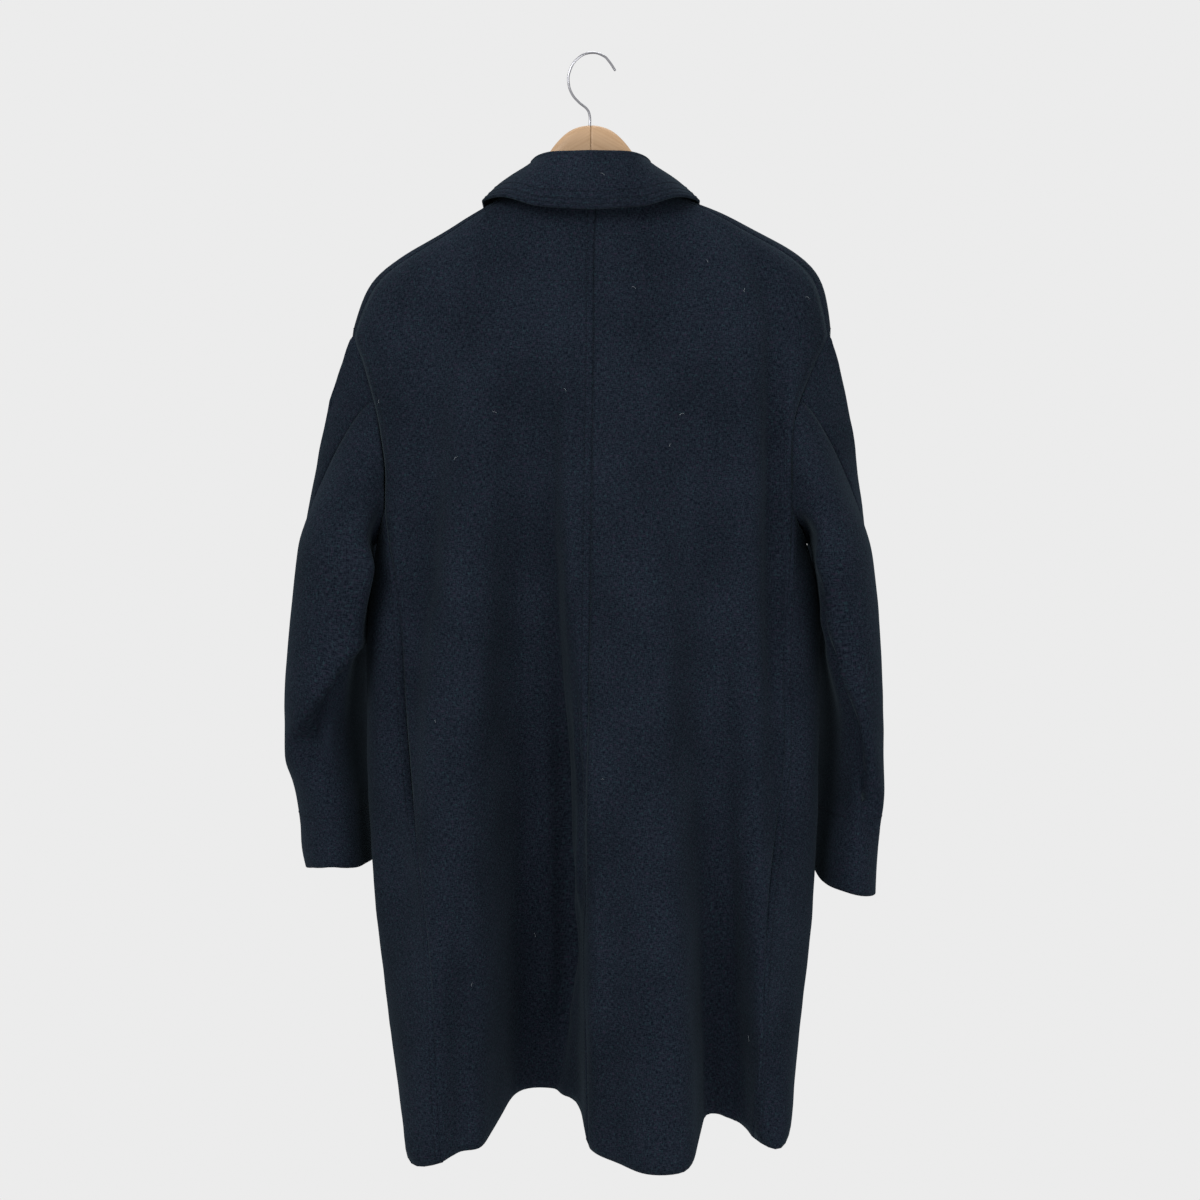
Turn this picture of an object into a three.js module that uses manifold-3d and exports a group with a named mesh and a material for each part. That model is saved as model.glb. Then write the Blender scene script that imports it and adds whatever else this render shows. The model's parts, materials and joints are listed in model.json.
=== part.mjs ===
// Wool overcoat on a wooden hanger.
// Millimetres, with Z up. The origin is the inside top of the hook, where a rail carries it.
// The back of the coat faces -Y and its front +Y, so +X is the wearer's right side.
// The coat is wide and unlined, hangs in deep folds, and each front wraps over the shoulder.
import * as THREE from 'three';
import { mergeVertices } from 'three/addons/utils/BufferGeometryUtils.js';
import Module from 'manifold-3d';

const wasm = await Module();
wasm.setup();

// Driving dimensions
const cloth = { thickness: 2.4, seamGap: 0.34 };
const neck = {
  halfWidth: 78, back: 52, front: 68, backDrop: 5, sideZ: -138, frontZ: -192,
  sidePower: 0.9, frontPower: 1.6,
};
const rowCount = { yoke: 8, armhole: 8, skirt: 18 };
const columnCount = { back: 16, frontInner: 8, side: 5 };
const level = { armholeTop: -290, armholeEnd: -468, underarm: -507, hem: -1093 };
const hem = { slope: 0.25, cornerDrop: 17, cornerX: -180, cornerReach: 36 };
const overlap = { halfWidth: 22, lift: 4.2, blend: 28, early: 6 };
const sleeveRows = { cap: 7, arm: 14 };
const RIGHT = 1;
const LEFT = -1;
const DEGREE = Math.PI / 180;
const dipRows = 8;
const yokeRoundness = 2.5;
const sideTaper = 10;
const denseSteps = 240;
const stepsBeyond = 20;
const settleRounds = 6;
const weldDistance = 1e-4;

const colour = {
  cloth: 0x1f252e,
  button: 0x1d1b1c,
  wood: 0xc5a789,
  steel: 0xb9bcc0,
};

// The line of each shoulder from the neck to the top of the armhole, seen from behind
const shoulderLine = {
  [RIGHT]: [
    { x: 78, z: -138 }, { x: 122, z: -158 }, { x: 148, z: -167 }, { x: 162, z: -176 }, { x: 203, z: -197 },
    { x: 223, z: -210 }, { x: 236, z: -223 }, { x: 242, z: -235 }, { x: 248, z: -260 }, { x: 252, z: -290 },
  ],
  [LEFT]: [
    { x: 78, z: -138 }, { x: 106, z: -154 }, { x: 126, z: -165 }, { x: 155, z: -183 }, { x: 180, z: -197 },
    { x: 202, z: -210 }, { x: 220, z: -223 }, { x: 231, z: -235 }, { x: 243, z: -260 }, { x: 252, z: -290 },
  ],
};

// Level sections of the body: half widths, depths to the back and front, the side's own place in depth,
// and how square the section is at the back and the front
const sections = [
  { z: -290, right: 252, left: 251, back: 74, front: 78, side: 16, backPower: 2.4, frontPower: 2.3 },
  { z: -317, right: 246, left: 247, back: 79, front: 82, side: 15, backPower: 2.4, frontPower: 2.3 },
  { z: -350, right: 238, left: 240, back: 84, front: 86, side: 14, backPower: 2.4, frontPower: 2.3 },
  { z: -400, right: 229, left: 231, back: 88, front: 89, side: 12, backPower: 2.4, frontPower: 2.4 },
  { z: -450, right: 225, left: 226, back: 91, front: 91, side: 10, backPower: 2.4, frontPower: 2.4 },
  { z: -507, right: 228, left: 226, back: 93, front: 92, side: 8, backPower: 2.4, frontPower: 2.4 },
  { z: -560, right: 238, left: 232, back: 94, front: 92, side: 6, backPower: 2.5, frontPower: 2.4 },
  { z: -640, right: 241, left: 236, back: 95, front: 92, side: 5, backPower: 2.6, frontPower: 2.5 },
  { z: -745, right: 239, left: 235, back: 97, front: 92, side: 4, backPower: 2.9, frontPower: 2.6 },
  { z: -855, right: 236, left: 230, back: 100, front: 93, side: 4, backPower: 3.2, frontPower: 2.7 },
  { z: -993, right: 222, left: 213, back: 106, front: 95, side: 6, backPower: 4.4, frontPower: 2.8 },
  { z: -1130, right: 209, left: 194, back: 112, front: 98, side: 10, backPower: 6, frontPower: 2.9 },
];

// Folds of the back: place across it and depth at four heights, the fold's flat and its two flanks.
// A fold of negative depth is a recess.
const foldHeights = [-290, -420, -710, -1110];
const backFolds = [
  { x: [-160, -167, -190, -192], depth: [0, -13, -15, 0], flat: [6, 8, 8, 8], left: 22, right: 26 },
  { x: [-120, -130, -152, -180], depth: [2, 8, 20, 42], flat: [8, 10, 12, 10], left: 26, right: 46 },
  { x: [-50, -53, -50, -44], depth: [0, -20, -64, -122], flat: [8, 12, 18, 27], left: 48, right: 17 },
  { x: [40, 52, 60, 75], depth: [2, 9, 24, 42], flat: [10, 12, 12, 14], left: 62, right: 32 },
  { x: [115, 120, 127, 137], depth: [0, -3, -16, -54], flat: [5, 6, 8, 11], left: 26, right: 36 },
  { x: [150, 152, 160, 190], depth: [0, 3, 9, 28], flat: [6, 8, 8, 8], left: 22, right: 24 },
  { x: [189, 190, 190, 196], depth: [-8, -13, -5, 0], flat: [3, 3, 4, 4], left: 16, right: 12 },
];
const frontFolds = [
  { x: [-160, -165, -168, -165], depth: [0, 4, 10, 20], flat: [8, 8, 8, 8], left: 26, right: 26 },
  { x: [-118, -120, -122, -118], depth: [0, -5, -14, -34], flat: [6, 7, 8, 9], left: 30, right: 30 },
  { x: [-66, -66, -68, -70], depth: [0, 3, 8, 16], flat: [8, 8, 8, 8], left: 30, right: 26 },
  { x: [72, 72, 70, 66], depth: [0, 3, 6, 12], flat: [8, 8, 8, 8], left: 26, right: 30 },
  { x: [112, 114, 112, 108], depth: [0, -4, -16, -38], flat: [6, 7, 8, 9], left: 28, right: 30 },
  { x: [158, 160, 162, 160], depth: [0, 4, 12, 22], flat: [8, 8, 8, 8], left: 26, right: 26 },
];

// Seams on the back, as seen from behind
const centreBackSeam = [
  { z: -140, x: 5 }, { z: -290, x: 3 }, { z: -416, x: 1 }, { z: -678, x: -3 }, { z: -780, x: -7 },
  { z: -920, x: -8 }, { z: -1130, x: -3 },
];
const backEdge = {
  [RIGHT]: [
    { z: -290, x: 247 }, { z: -317, x: 233 }, { z: -348, x: 220 }, { z: -369, x: 211 }, { z: -399, x: 207 },
    { z: -433, x: 207 }, { z: -468, x: 208 }, { z: -526, x: 204 }, { z: -583, x: 199 }, { z: -640, x: 198 },
    { z: -702, x: 200 }, { z: -745, x: 197 }, { z: -814, x: 188 }, { z: -874, x: 181 }, { z: -1130, x: 166 },
  ],
  [LEFT]: [
    { z: -290, x: 247 }, { z: -317, x: 237 }, { z: -348, x: 228 }, { z: -369, x: 222 }, { z: -399, x: 217 },
    { z: -433, x: 213 }, { z: -468, x: 214 }, { z: -515, x: 207 }, { z: -545, x: 200 }, { z: -583, x: 196 },
    { z: -690, x: 190 }, { z: -785, x: 181 }, { z: -857, x: 171 }, { z: -930, x: 162 }, { z: -1130, x: 150 },
  ],
};
const frontEdge = [
  { z: -290, x: 243 }, { z: -320, x: 224 }, { z: -360, x: 206 }, { z: -400, x: 198 }, { z: -440, x: 197 },
  { z: -468, x: 204 }, { z: -700, x: 204 }, { z: -1130, x: 168 },
];
// Where the column of each edge meets the neckline, as degrees round the neck from the centre back
const neckAngle = { shoulderSeam: 66, armholeFront: 108, frontEdge: 194 };

// Sleeve sections below the underarm: outer side, rearmost ridge and inner side across, the two depths,
// and how much lower the outer side of the section lies than its inner side
const sleeveSections = {
  [RIGHT]: [
    { z: -530, outer: 296, ridge: 237, inner: 245, back: -84, front: 104, tilt: 0 },
    { z: -584, outer: 303, ridge: 249, inner: 247, back: -80, front: 104, tilt: 0 },
    { z: -647, outer: 307, ridge: 262, inner: 247, back: -72, front: 102, tilt: 0 },
    { z: -710, outer: 309, ridge: 276, inner: 246, back: -62, front: 101, tilt: 0 },
    { z: -765, outer: 311, ridge: 281, inner: 243, back: -54, front: 101, tilt: 0.06 },
    { z: -794, outer: 307, ridge: 276, inner: 241, back: -50, front: 101, tilt: 0.12 },
    { z: -830, outer: 305, ridge: 270, inner: 239, back: -48, front: 101, tilt: 0.2 },
    { z: -862, outer: 304, ridge: 268, inner: 238, back: -46, front: 100, tilt: 0.25 },
  ],
  [LEFT]: [
    { z: -530, outer: 311, ridge: 230, inner: 241, back: -78, front: 104, tilt: 0 },
    { z: -584, outer: 319, ridge: 240, inner: 243, back: -76, front: 104, tilt: 0.2 },
    { z: -647, outer: 324, ridge: 260, inner: 243, back: -68, front: 102, tilt: 0.5 },
    { z: -710, outer: 325, ridge: 272, inner: 241, back: -52, front: 103, tilt: 0.35 },
    { z: -765, outer: 316, ridge: 268, inner: 238, back: -52, front: 104, tilt: 0 },
    { z: -794, outer: 311, ridge: 264, inner: 236, back: -50, front: 103, tilt: 0 },
    { z: -830, outer: 309, ridge: 262, inner: 234, back: -48, front: 102, tilt: 0.03 },
    { z: -850, outer: 305, ridge: 261, inner: 233, back: -47, front: 101, tilt: 0.04 },
  ],
};
const sleeve = {
  power: 2.3, tiltCentre: 268, backSeamRow: 3, frontSeamRow: 6, seamAtOuter: 0.02, seamAtFront: 0.78,
  startPull: 0.42, endPull: 0.8, innerForward: 50, crest: 268, steps: 160,
};

// How far the sleeve opens away from the body's surface, in degrees, at places round the armhole:
// so many runs of its short sides, at the top and under the arm, and of its long front and back edges
const sleeveOpenings = [
  { sides: 0, edges: 0, opening: 0 },
  { sides: 1, edges: 0, opening: 10 },
  { sides: 1, edges: 0.5, opening: 40 },
  { sides: 1, edges: 1, opening: 70 },
  { sides: 1.5, edges: 1, opening: 88 },
  { sides: 2, edges: 1, opening: 70 },
  { sides: 2, edges: 1.5, opening: 24 },
  { sides: 2, edges: 2, opening: 0 },
];

// The collar, as stations round the neck in degrees from the centre back: the roll line and the outer edge
const collarStations = [
  { angle: 0, rollX: 0, rollY: -52, rollZ: -103, edgeX: 0, edgeY: -76, edgeZ: -162 },
  { angle: 30, rollX: 36, rollY: -46, rollZ: -103, edgeX: 50, edgeY: -74, edgeZ: -159 },
  { angle: 60, rollX: 52, rollY: -24, rollZ: -104, edgeX: 90, edgeY: -50, edgeZ: -151 },
  { angle: 90, rollX: 58, rollY: 6, rollZ: -107, edgeX: 112, edgeY: 2, edgeZ: -152 },
  { angle: 120, rollX: 57, rollY: 36, rollZ: -124, edgeX: 110, edgeY: 56, edgeZ: -174 },
  { angle: 150, rollX: 36, rollY: 64, rollZ: -158, edgeX: 86, edgeY: 92, edgeZ: -224 },
  { angle: 178, rollX: 3, rollY: 76, rollZ: -186, edgeX: 46, edgeY: 99, edgeZ: -258 },
];
const collar = {
  stations: 27, rollRadius: 4.2, leastRadius: 3, rollSteps: 2, leafSteps: 4, standSteps: 2, bulge: 2.5,
};

// The hanger
const hangerSections = [
  { x: 0, top: -73.5, height: 46, half: 7.5, forward: 0 },
  { x: 12, top: -74.5, height: 46, half: 7.5, forward: 0 },
  { x: 24, top: -80.5, height: 44, half: 7.5, forward: 0 },
  { x: 34, top: -91, height: 40, half: 7.5, forward: 0 },
  { x: 44, top: -104, height: 36, half: 7.5, forward: 0.5 },
  { x: 60, top: -129, height: 32, half: 7.8, forward: 1 },
  { x: 78, top: -147.8, height: 31, half: 8, forward: 2 },
  { x: 110, top: -161.5, height: 32, half: 8.5, forward: 5 },
  { x: 147, top: -178.4, height: 31, half: 9.5, forward: 9 },
  { x: 175, top: -193.3, height: 29, half: 10.5, forward: 12 },
  { x: 196, top: -206.6, height: 26, half: 10, forward: 12 },
  { x: 206, top: -216, height: 19, half: 8.5, forward: 13 },
];
const hanger = { tilt: 2.6, crest: 44, joint: 0.3, sideCount: 12, edgePower: 3 };
const hook = {
  wire: 1.3, sides: 8, steps: 40, hole: 1.6, depth: 30,
  path: [
    { x: -1, z: -100 }, { x: -1, z: -74 }, { x: -1.4, z: -62 }, { x: -3.4, z: -57 }, { x: -13, z: -48.5 },
    { x: -19.3, z: -41 }, { x: -23, z: -30 }, { x: -22.2, z: -18.6 }, { x: -13.7, z: -4.6 },
    { x: 0, z: 1.3 }, { x: 13.5, z: -2.1 }, { x: 19.1, z: -7.8 }, { x: 24.8, z: -16.2 },
  ],
};

const button = {
  radius: 12.5, thickness: 4, edge: 1, rim: 2, dish: 0.9, clearance: 0.35, segments: 20, pitch: 124,
};
const firstButton = { z: -262, count: 4 };

// Interpolation of a table's column, smooth and without overshoot
function curveThrough(rows, input, output) {
  const xs = rows.map((row) => row[input]);
  const ys = rows.map((row) => row[output]);
  const order = xs[0] < xs[xs.length - 1] ? 1 : -1;
  const slopes = xs.slice(1).map((x, i) => (ys[i + 1] - ys[i]) / (x - xs[i]));
  const tangents = xs.map((x, i) => {
    if (i === 0) return slopes[0];
    if (i === xs.length - 1) return slopes[i - 1];
    if (slopes[i - 1] * slopes[i] <= 0) return 0;
    return (2 * slopes[i - 1] * slopes[i]) / (slopes[i - 1] + slopes[i]);
  });
  return (x) => {
    if ((x - xs[0]) * order <= 0) return ys[0];
    if ((x - xs[xs.length - 1]) * order >= 0) return ys[ys.length - 1];
    let i = 0;
    while ((x - xs[i + 1]) * order > 0) i += 1;
    const span = xs[i + 1] - xs[i];
    const t = (x - xs[i]) / span;
    const rise = ys[i] * (1 + 2 * t) * (1 - t) ** 2 + ys[i + 1] * t * t * (3 - 2 * t);
    return rise + span * (tangents[i] * t * (1 - t) ** 2 - tangents[i + 1] * t * t * (1 - t));
  };
}

function curveOver(inputs, outputs) {
  return curveThrough(inputs.map((input, i) => ({ input, output: outputs[i] })), 'input', 'output');
}

function curvesOf(rows, input) {
  const names = Object.keys(rows[0]).filter((name) => name !== input);
  return Object.fromEntries(names.map((name) => [name, curveThrough(rows, input, name)]));
}

const mix = (a, b, t) => a + (b - a) * t;
const smooth = (t) => {
  const s = Math.min(1, Math.max(0, t));
  return s * s * (3 - 2 * s);
};

// The body as a surface
const section = curvesOf(sections, 'z');
const backSeam = curveThrough(centreBackSeam, 'z', 'x');
const edgeOfBack = {
  [RIGHT]: curveThrough(backEdge[RIGHT], 'z', 'x'),
  [LEFT]: curveThrough(backEdge[LEFT], 'z', 'x'),
};
const edgeOfFront = curveThrough(frontEdge, 'z', 'x');

function foldCurves(folds) {
  return folds.map((fold) => ({
    x: curveOver(foldHeights, fold.x),
    depth: curveOver(foldHeights, fold.depth),
    flat: curveOver(foldHeights, fold.flat),
    left: fold.left,
    right: fold.right,
  }));
}
const foldsAt = { back: foldCurves(backFolds), front: foldCurves(frontFolds) };

function foldDepth(face, x, z) {
  return foldsAt[face].reduce((sum, fold) => {
    const offset = x - fold.x(z);
    const flank = offset < 0 ? fold.left : fold.right;
    const away = Math.abs(offset) - fold.flat(z);
    return sum + fold.depth(z) * (1 - smooth(away / flank));
  }, 0);
}

// A point of the level section at height z: turn 0 is the centre back, 1 the side and 2 the centre front
function sectionPoint(half, turn, z) {
  const face = turn <= 1 ? 'back' : 'front';
  const power = section[`${face}Power`](z);
  const angle = (Math.PI / 2) * (turn <= 1 ? turn : 2 - turn);
  const width = half === RIGHT ? section.right(z) : section.left(z);
  const across = Math.sin(angle) ** (2 / power);
  const along = Math.cos(angle) ** (2 / power);
  const x = half * width * across;
  const taper = 1 - across ** sideTaper;
  const reach = face === 'back' ? -section.back(z) : section.front(z);
  const outward = face === 'back' ? -1 : 1;
  const y = mix(section.side(z), reach, along) + outward * taper * foldDepth(face, x, z);
  return new THREE.Vector3(x, y, z);
}

// One half of a level section as a dense line, with the way along it to any place across
function sectionLine(half, z) {
  const points = [];
  const lengths = [];
  let total = 0;
  for (let i = -stepsBeyond; i <= denseSteps + stepsBeyond; i += 1) {
    const turn = (2 * i) / denseSteps;
    let point;
    if (turn < 0) {
      point = sectionPoint(-half, -turn, z);
    } else if (turn > 2) {
      point = sectionPoint(-half, 4 - turn, z);
    } else {
      point = sectionPoint(half, turn, z);
    }
    if (points.length > 0) total += point.distanceTo(points[points.length - 1]);
    points.push(point);
    lengths.push(total);
  }
  const lengthAt = (face, x) => {
    const from = face === 'back' ? 0 : points.length - 1;
    const step = face === 'back' ? 1 : -1;
    let i = from;
    while ((points[i + step].x - x) * half < 0) i += step;
    const t = (x - points[i].x) / (points[i + step].x - points[i].x);
    return mix(lengths[i], lengths[i + step], t);
  };
  const pointAt = (length) => {
    let i = 0;
    while (i < lengths.length - 2 && lengths[i + 1] < length) i += 1;
    const t = (length - lengths[i]) / (lengths[i + 1] - lengths[i]);
    return points[i].clone().lerp(points[i + 1], t);
  };
  return { lengthAt, pointAt };
}

// The columns of the back follow its folds: a share of the columns ends at each fold's middle
const backAnchors = {
  [RIGHT]: [
    { fold: 3, share: 4 / 16, within: 0.6 }, { fold: 4, share: 9 / 16, within: 0.84 },
    { fold: 6, share: 14 / 16, within: 0.94 },
  ],
  [LEFT]: [{ fold: 2, share: 6 / 16, within: 0.5 }, { fold: 0, share: 13 / 16, within: 0.86 }],
};

function backStops(half, line, z) {
  const start = line.lengthAt('back', backSeam(z));
  const end = line.lengthAt('back', half * edgeOfBack[half](z));
  const edge = edgeOfBack[half](z);
  const anchors = backAnchors[half].map((anchor) => {
    const across = Math.min(Math.abs(foldsAt.back[anchor.fold].x(z)), anchor.within * edge);
    return { share: anchor.share, length: line.lengthAt('back', half * across) };
  });
  const stops = [{ share: 0, length: start }, ...anchors, { share: 1, length: end }];
  return curveThrough(stops, 'share', 'length');
}

// Heights of the rows of each column, from the top of the armhole to the hem
function rowHeight(row, { x, y }, dip) {
  if (row <= rowCount.armhole) return mix(level.armholeTop, level.armholeEnd, row / rowCount.armhole) - dip;
  const share = (row - rowCount.armhole) / rowCount.skirt;
  const drop = hem.cornerDrop * (1 - smooth(Math.abs(x - hem.cornerX) / hem.cornerReach));
  return mix(level.armholeEnd, level.hem + hem.slope * Math.min(0, y) - drop, share) - dip;
}

function settled(pointAtHeight, row, dip) {
  let point = new THREE.Vector3();
  for (let i = 0; i <= settleRounds; i += 1) point = pointAtHeight(rowHeight(row, point, dip));
  return point;
}

// The yoke: from the neckline down to the top of the armhole, over the shoulder line
function neckPoint(half, angle) {
  const across = Math.sign(Math.sin(angle)) * Math.abs(Math.sin(angle)) ** neck.sidePower;
  const along = Math.cos(angle);
  const x = half * neck.halfWidth * across;
  if (along >= 0) {
    return new THREE.Vector3(x, -neck.back * along, neck.sideZ - neck.backDrop * along * along);
  }
  const drop = (neck.frontZ - neck.sideZ) * Math.abs(along) ** neck.frontPower;
  return new THREE.Vector3(x, -neck.front * along, neck.sideZ + drop);
}

function shoulderShare(half) {
  const line = shoulderLine[half];
  const lengths = [0];
  for (let i = 1; i < line.length; i += 1) {
    lengths.push(lengths[i - 1] + Math.hypot(line[i].x - line[i - 1].x, line[i].z - line[i - 1].z));
  }
  const first = line[0];
  const last = line[line.length - 1];
  const rows = line.map((point, i) => ({
    t: lengths[i] / lengths[line.length - 1],
    across: (point.x - first.x) / (last.x - first.x),
    down: (point.z - first.z) / (last.z - first.z),
  }));
  return curvesOf(rows, 't');
}
const shoulder = { [RIGHT]: shoulderShare(RIGHT), [LEFT]: shoulderShare(LEFT) };

function yokePoint(half, angle, base, t) {
  const top = neckPoint(half, angle);
  const over = 1 - Math.abs(Math.cos(angle)) ** yokeRoundness;
  const across = mix(t, shoulder[half].across(t), over);
  const down = mix(t, shoulder[half].down(t), over);
  return new THREE.Vector3(mix(top.x, base.x, across), mix(top.y, base.y, across), mix(top.z, base.z, down));
}

function yokeRows(half, angles, bases) {
  return range(rowCount.yoke - 1).map((row) => {
    const t = row / rowCount.yoke;
    return bases.map((base, column) => yokePoint(half, angles[column], base, t));
  });
}

// Grids of points: rows run down the coat and columns round it
const bodyRange = range(rowCount.armhole + rowCount.skirt);

function backGrid(half) {
  const shares = range(columnCount.back).map((column) => column / columnCount.back);
  const angles = shares.map((share) => share ** neck.sidePower * neckAngle.shoulderSeam * DEGREE);
  const pointOf = (share) => (z) => {
    const line = sectionLine(half, z);
    return line.pointAt(backStops(half, line, z)(share));
  };
  const bodyRows = bodyRange.map((row) => shares.map((share) => settled(pointOf(share), row, 0)));
  const upper = yokeRows(half, angles, bodyRows[0]);
  upper.forEach((points, row) => points.forEach((point, column) => {
    const fade = (1 - shares[column]) * (1 - row / rowCount.yoke);
    point.x += fade * backSeam(point.z);
  }));
  return [...upper, ...bodyRows];
}

function frontStops(half, line, z) {
  const { side, frontInner } = columnCount;
  return curveThrough([
    { column: 0, length: line.lengthAt('back', half * edgeOfBack[half](z)) },
    { column: side, length: line.lengthAt('front', half * edgeOfFront(z)) },
    { column: side + frontInner, length: line.lengthAt('front', -half * overlap.halfWidth) },
  ], 'column', 'length');
}

// How far each column of the side dips below its row where it passes under the armhole
function underarmDip(row, column) {
  if (column >= columnCount.side || row < rowCount.armhole) return 0;
  const depth = (level.armholeEnd - level.underarm) * Math.sin((Math.PI * column) / columnCount.side);
  return depth * Math.max(0, 1 - (row - rowCount.armhole) / dipRows);
}

function frontGrid(half) {
  const columns = range(columnCount.side + columnCount.frontInner);
  const angles = columns.map((column) => {
    const { side, frontInner } = columnCount;
    const outer = mix(neckAngle.shoulderSeam, neckAngle.armholeFront, column / side);
    const inner = mix(neckAngle.armholeFront, neckAngle.frontEdge, (column - side) / frontInner);
    return (column < side ? outer : inner) * DEGREE;
  });
  const pointOf = (column) => (z) => {
    const line = sectionLine(half, z);
    return line.pointAt(frontStops(half, line, z)(column));
  };
  const bodyRows = bodyRange.map((row) => columns.map((column) => (
    settled(pointOf(column), row, underarmDip(row, column))
  )));
  const points = [...yokeRows(half, angles, bodyRows[0]), ...bodyRows];
  if (half === LEFT) points.flat().forEach(liftOverlap);
  return points;
}

// The left front lies on the right one at the centre front
function liftOverlap(point) {
  if (point.y < 0) return;
  const along = (point.x + overlap.halfWidth + overlap.early) / overlap.blend;
  point.y += overlap.lift * smooth(1 + along);
}

function isFrontCloth(row, column) {
  const inArmhole = row >= rowCount.yoke && row < rowCount.yoke + rowCount.armhole;
  return !(inArmhole && column < columnCount.side);
}

// A sheet is a grid of points with the cells that are cloth, facing out of the coat
function sheetOf(points, isCloth = () => true, flipped = false) {
  const cells = [];
  for (let row = 0; row + 1 < points.length; row += 1) {
    for (let column = 0; column + 1 < points[row].length; column += 1) {
      if (isCloth(row, column)) {
        const cell = [[row, column], [row + 1, column], [row + 1, column + 1], [row, column + 1]];
        cells.push(flipped ? cell.reverse() : cell);
      }
    }
  }
  return { points, cells };
}

const keyOf = (point) => [point.x, point.y, point.z].map((value) => Math.round(value * 100)).join(' ');

// Normals that neighbouring sheets share where their edges meet
function sharedNormals(sheets) {
  const normals = new Map();
  sheets.forEach(({ points, cells }) => cells.forEach((cell) => {
    const corners = cell.map(([row, column]) => points[row][column]);
    const across = corners[2].clone().sub(corners[0]);
    const facing = across.cross(corners[3].clone().sub(corners[1]));
    corners.forEach((corner) => {
      const key = keyOf(corner);
      normals.set(key, (normals.get(key) ?? new THREE.Vector3()).add(facing));
    });
  }));
  normals.forEach((normal) => normal.normalize());
  return normals;
}

// A cloth wall: the sheet, trimmed by half a seam gap at its edges, and the same sheet a thickness deeper
function clothWall({ points, cells }, normals, thickness = cloth.thickness) {
  const used = new Map();
  const nameOf = ([row, column]) => row * points[0].length + column;
  const normalOf = ([row, column]) => normals.get(keyOf(points[row][column]));
  const edges = new Map();
  cells.forEach((cell) => cell.forEach((corner, i) => {
    const next = cell[(i + 1) % 4];
    const back = `${nameOf(next)} ${nameOf(corner)}`;
    if (edges.has(back)) edges.delete(back);
    else edges.set(`${nameOf(corner)} ${nameOf(next)}`, [corner, next]);
  }));
  const inward = new Map();
  edges.forEach(([from, to]) => {
    const along = points[to[0]][to[1]].clone().sub(points[from[0]][from[1]]);
    [from, to].forEach((corner) => {
      const side = normalOf(corner).clone().cross(along).normalize();
      inward.set(nameOf(corner), [...(inward.get(nameOf(corner)) ?? []), side]);
    });
  });
  const positions = [];
  const indices = [];
  const vertex = (corner) => {
    const name = nameOf(corner);
    if (!used.has(name)) {
      const outer = points[corner[0]][corner[1]].clone();
      const sides = inward.get(name) ?? [];
      if (sides.length > 0) {
        const sum = sides.reduce((total, side) => total.add(side), new THREE.Vector3());
        outer.addScaledVector(sum, cloth.seamGap / sum.lengthSq());
      }
      const inner = outer.clone().addScaledVector(normalOf(corner), -thickness);
      used.set(name, positions.length / 3);
      positions.push(...outer.toArray(), ...inner.toArray());
    }
    return used.get(name);
  };
  const quad = (a, b, c, d) => indices.push(a, b, c, a, c, d);
  const spanOf = (one, other) => points[one[0]][one[1]].distanceTo(points[other[0]][other[1]]);
  cells.forEach((cell) => {
    const turned = spanOf(cell[0], cell[2]) > spanOf(cell[1], cell[3]);
    const [a, b, c, d] = (turned ? [cell[1], cell[2], cell[3], cell[0]] : cell).map(vertex);
    quad(a, b, c, d);
    quad(a + 1, d + 1, c + 1, b + 1);
  });
  edges.forEach(([from, to]) => {
    const a = vertex(from);
    const b = vertex(to);
    if (points[from[0]][from[1]].z > points[to[0]][to[1]].z) quad(a, a + 1, b + 1, b);
    else quad(b, a, a + 1, b + 1);
  });
  const geometry = new THREE.BufferGeometry();
  geometry.setAttribute('position', new THREE.Float32BufferAttribute(positions, 3));
  geometry.setIndex(indices);
  geometry.computeVertexNormals();
  return geometry;
}

// The sleeve starts at the armhole: over the top, down the front, under the arm and up the back
function armholeLoop(back, front) {
  const { yoke, armhole } = rowCount;
  const { side } = columnCount;
  const lastBack = columnCount.back;
  const at = (points, row, column) => points[row][column].clone();
  return [
    ...range(side - 1).map((column) => at(front, yoke, column)),
    ...range(armhole - 1).map((row) => at(front, yoke + row, side)),
    ...range(side - 1).map((column) => at(front, yoke + armhole, side - column)),
    ...range(armhole - 1).map((row) => at(back, yoke + armhole - row, lastBack)),
  ];
}

// A point of a sleeve's section: turn 0 is its outer side, 0.25 its front, 0.5 its inner side, 0.75 its back
function sleevePoint(curve, half, turn, z) {
  const angle = 2 * Math.PI * turn;
  const shape = (value) => Math.sign(value) * Math.abs(value) ** (2 / sleeve.power);
  const across = shape(Math.cos(angle));
  const along = shape(Math.sin(angle));
  const ridge = along < 0 ? curve.ridge(z) : sleeve.crest;
  const middle = (curve.front(z) + curve.back(z)) / 2;
  const x = ridge + across * (across > 0 ? curve.outer(z) - ridge : ridge - curve.inner(z));
  const y = middle + along * (curve.front(z) - middle) + sleeve.innerForward * Math.max(0, -across) ** 2;
  return new THREE.Vector3(half * x, y, z - curve.tilt(z) * (x - sleeve.tiltCentre));
}

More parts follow.
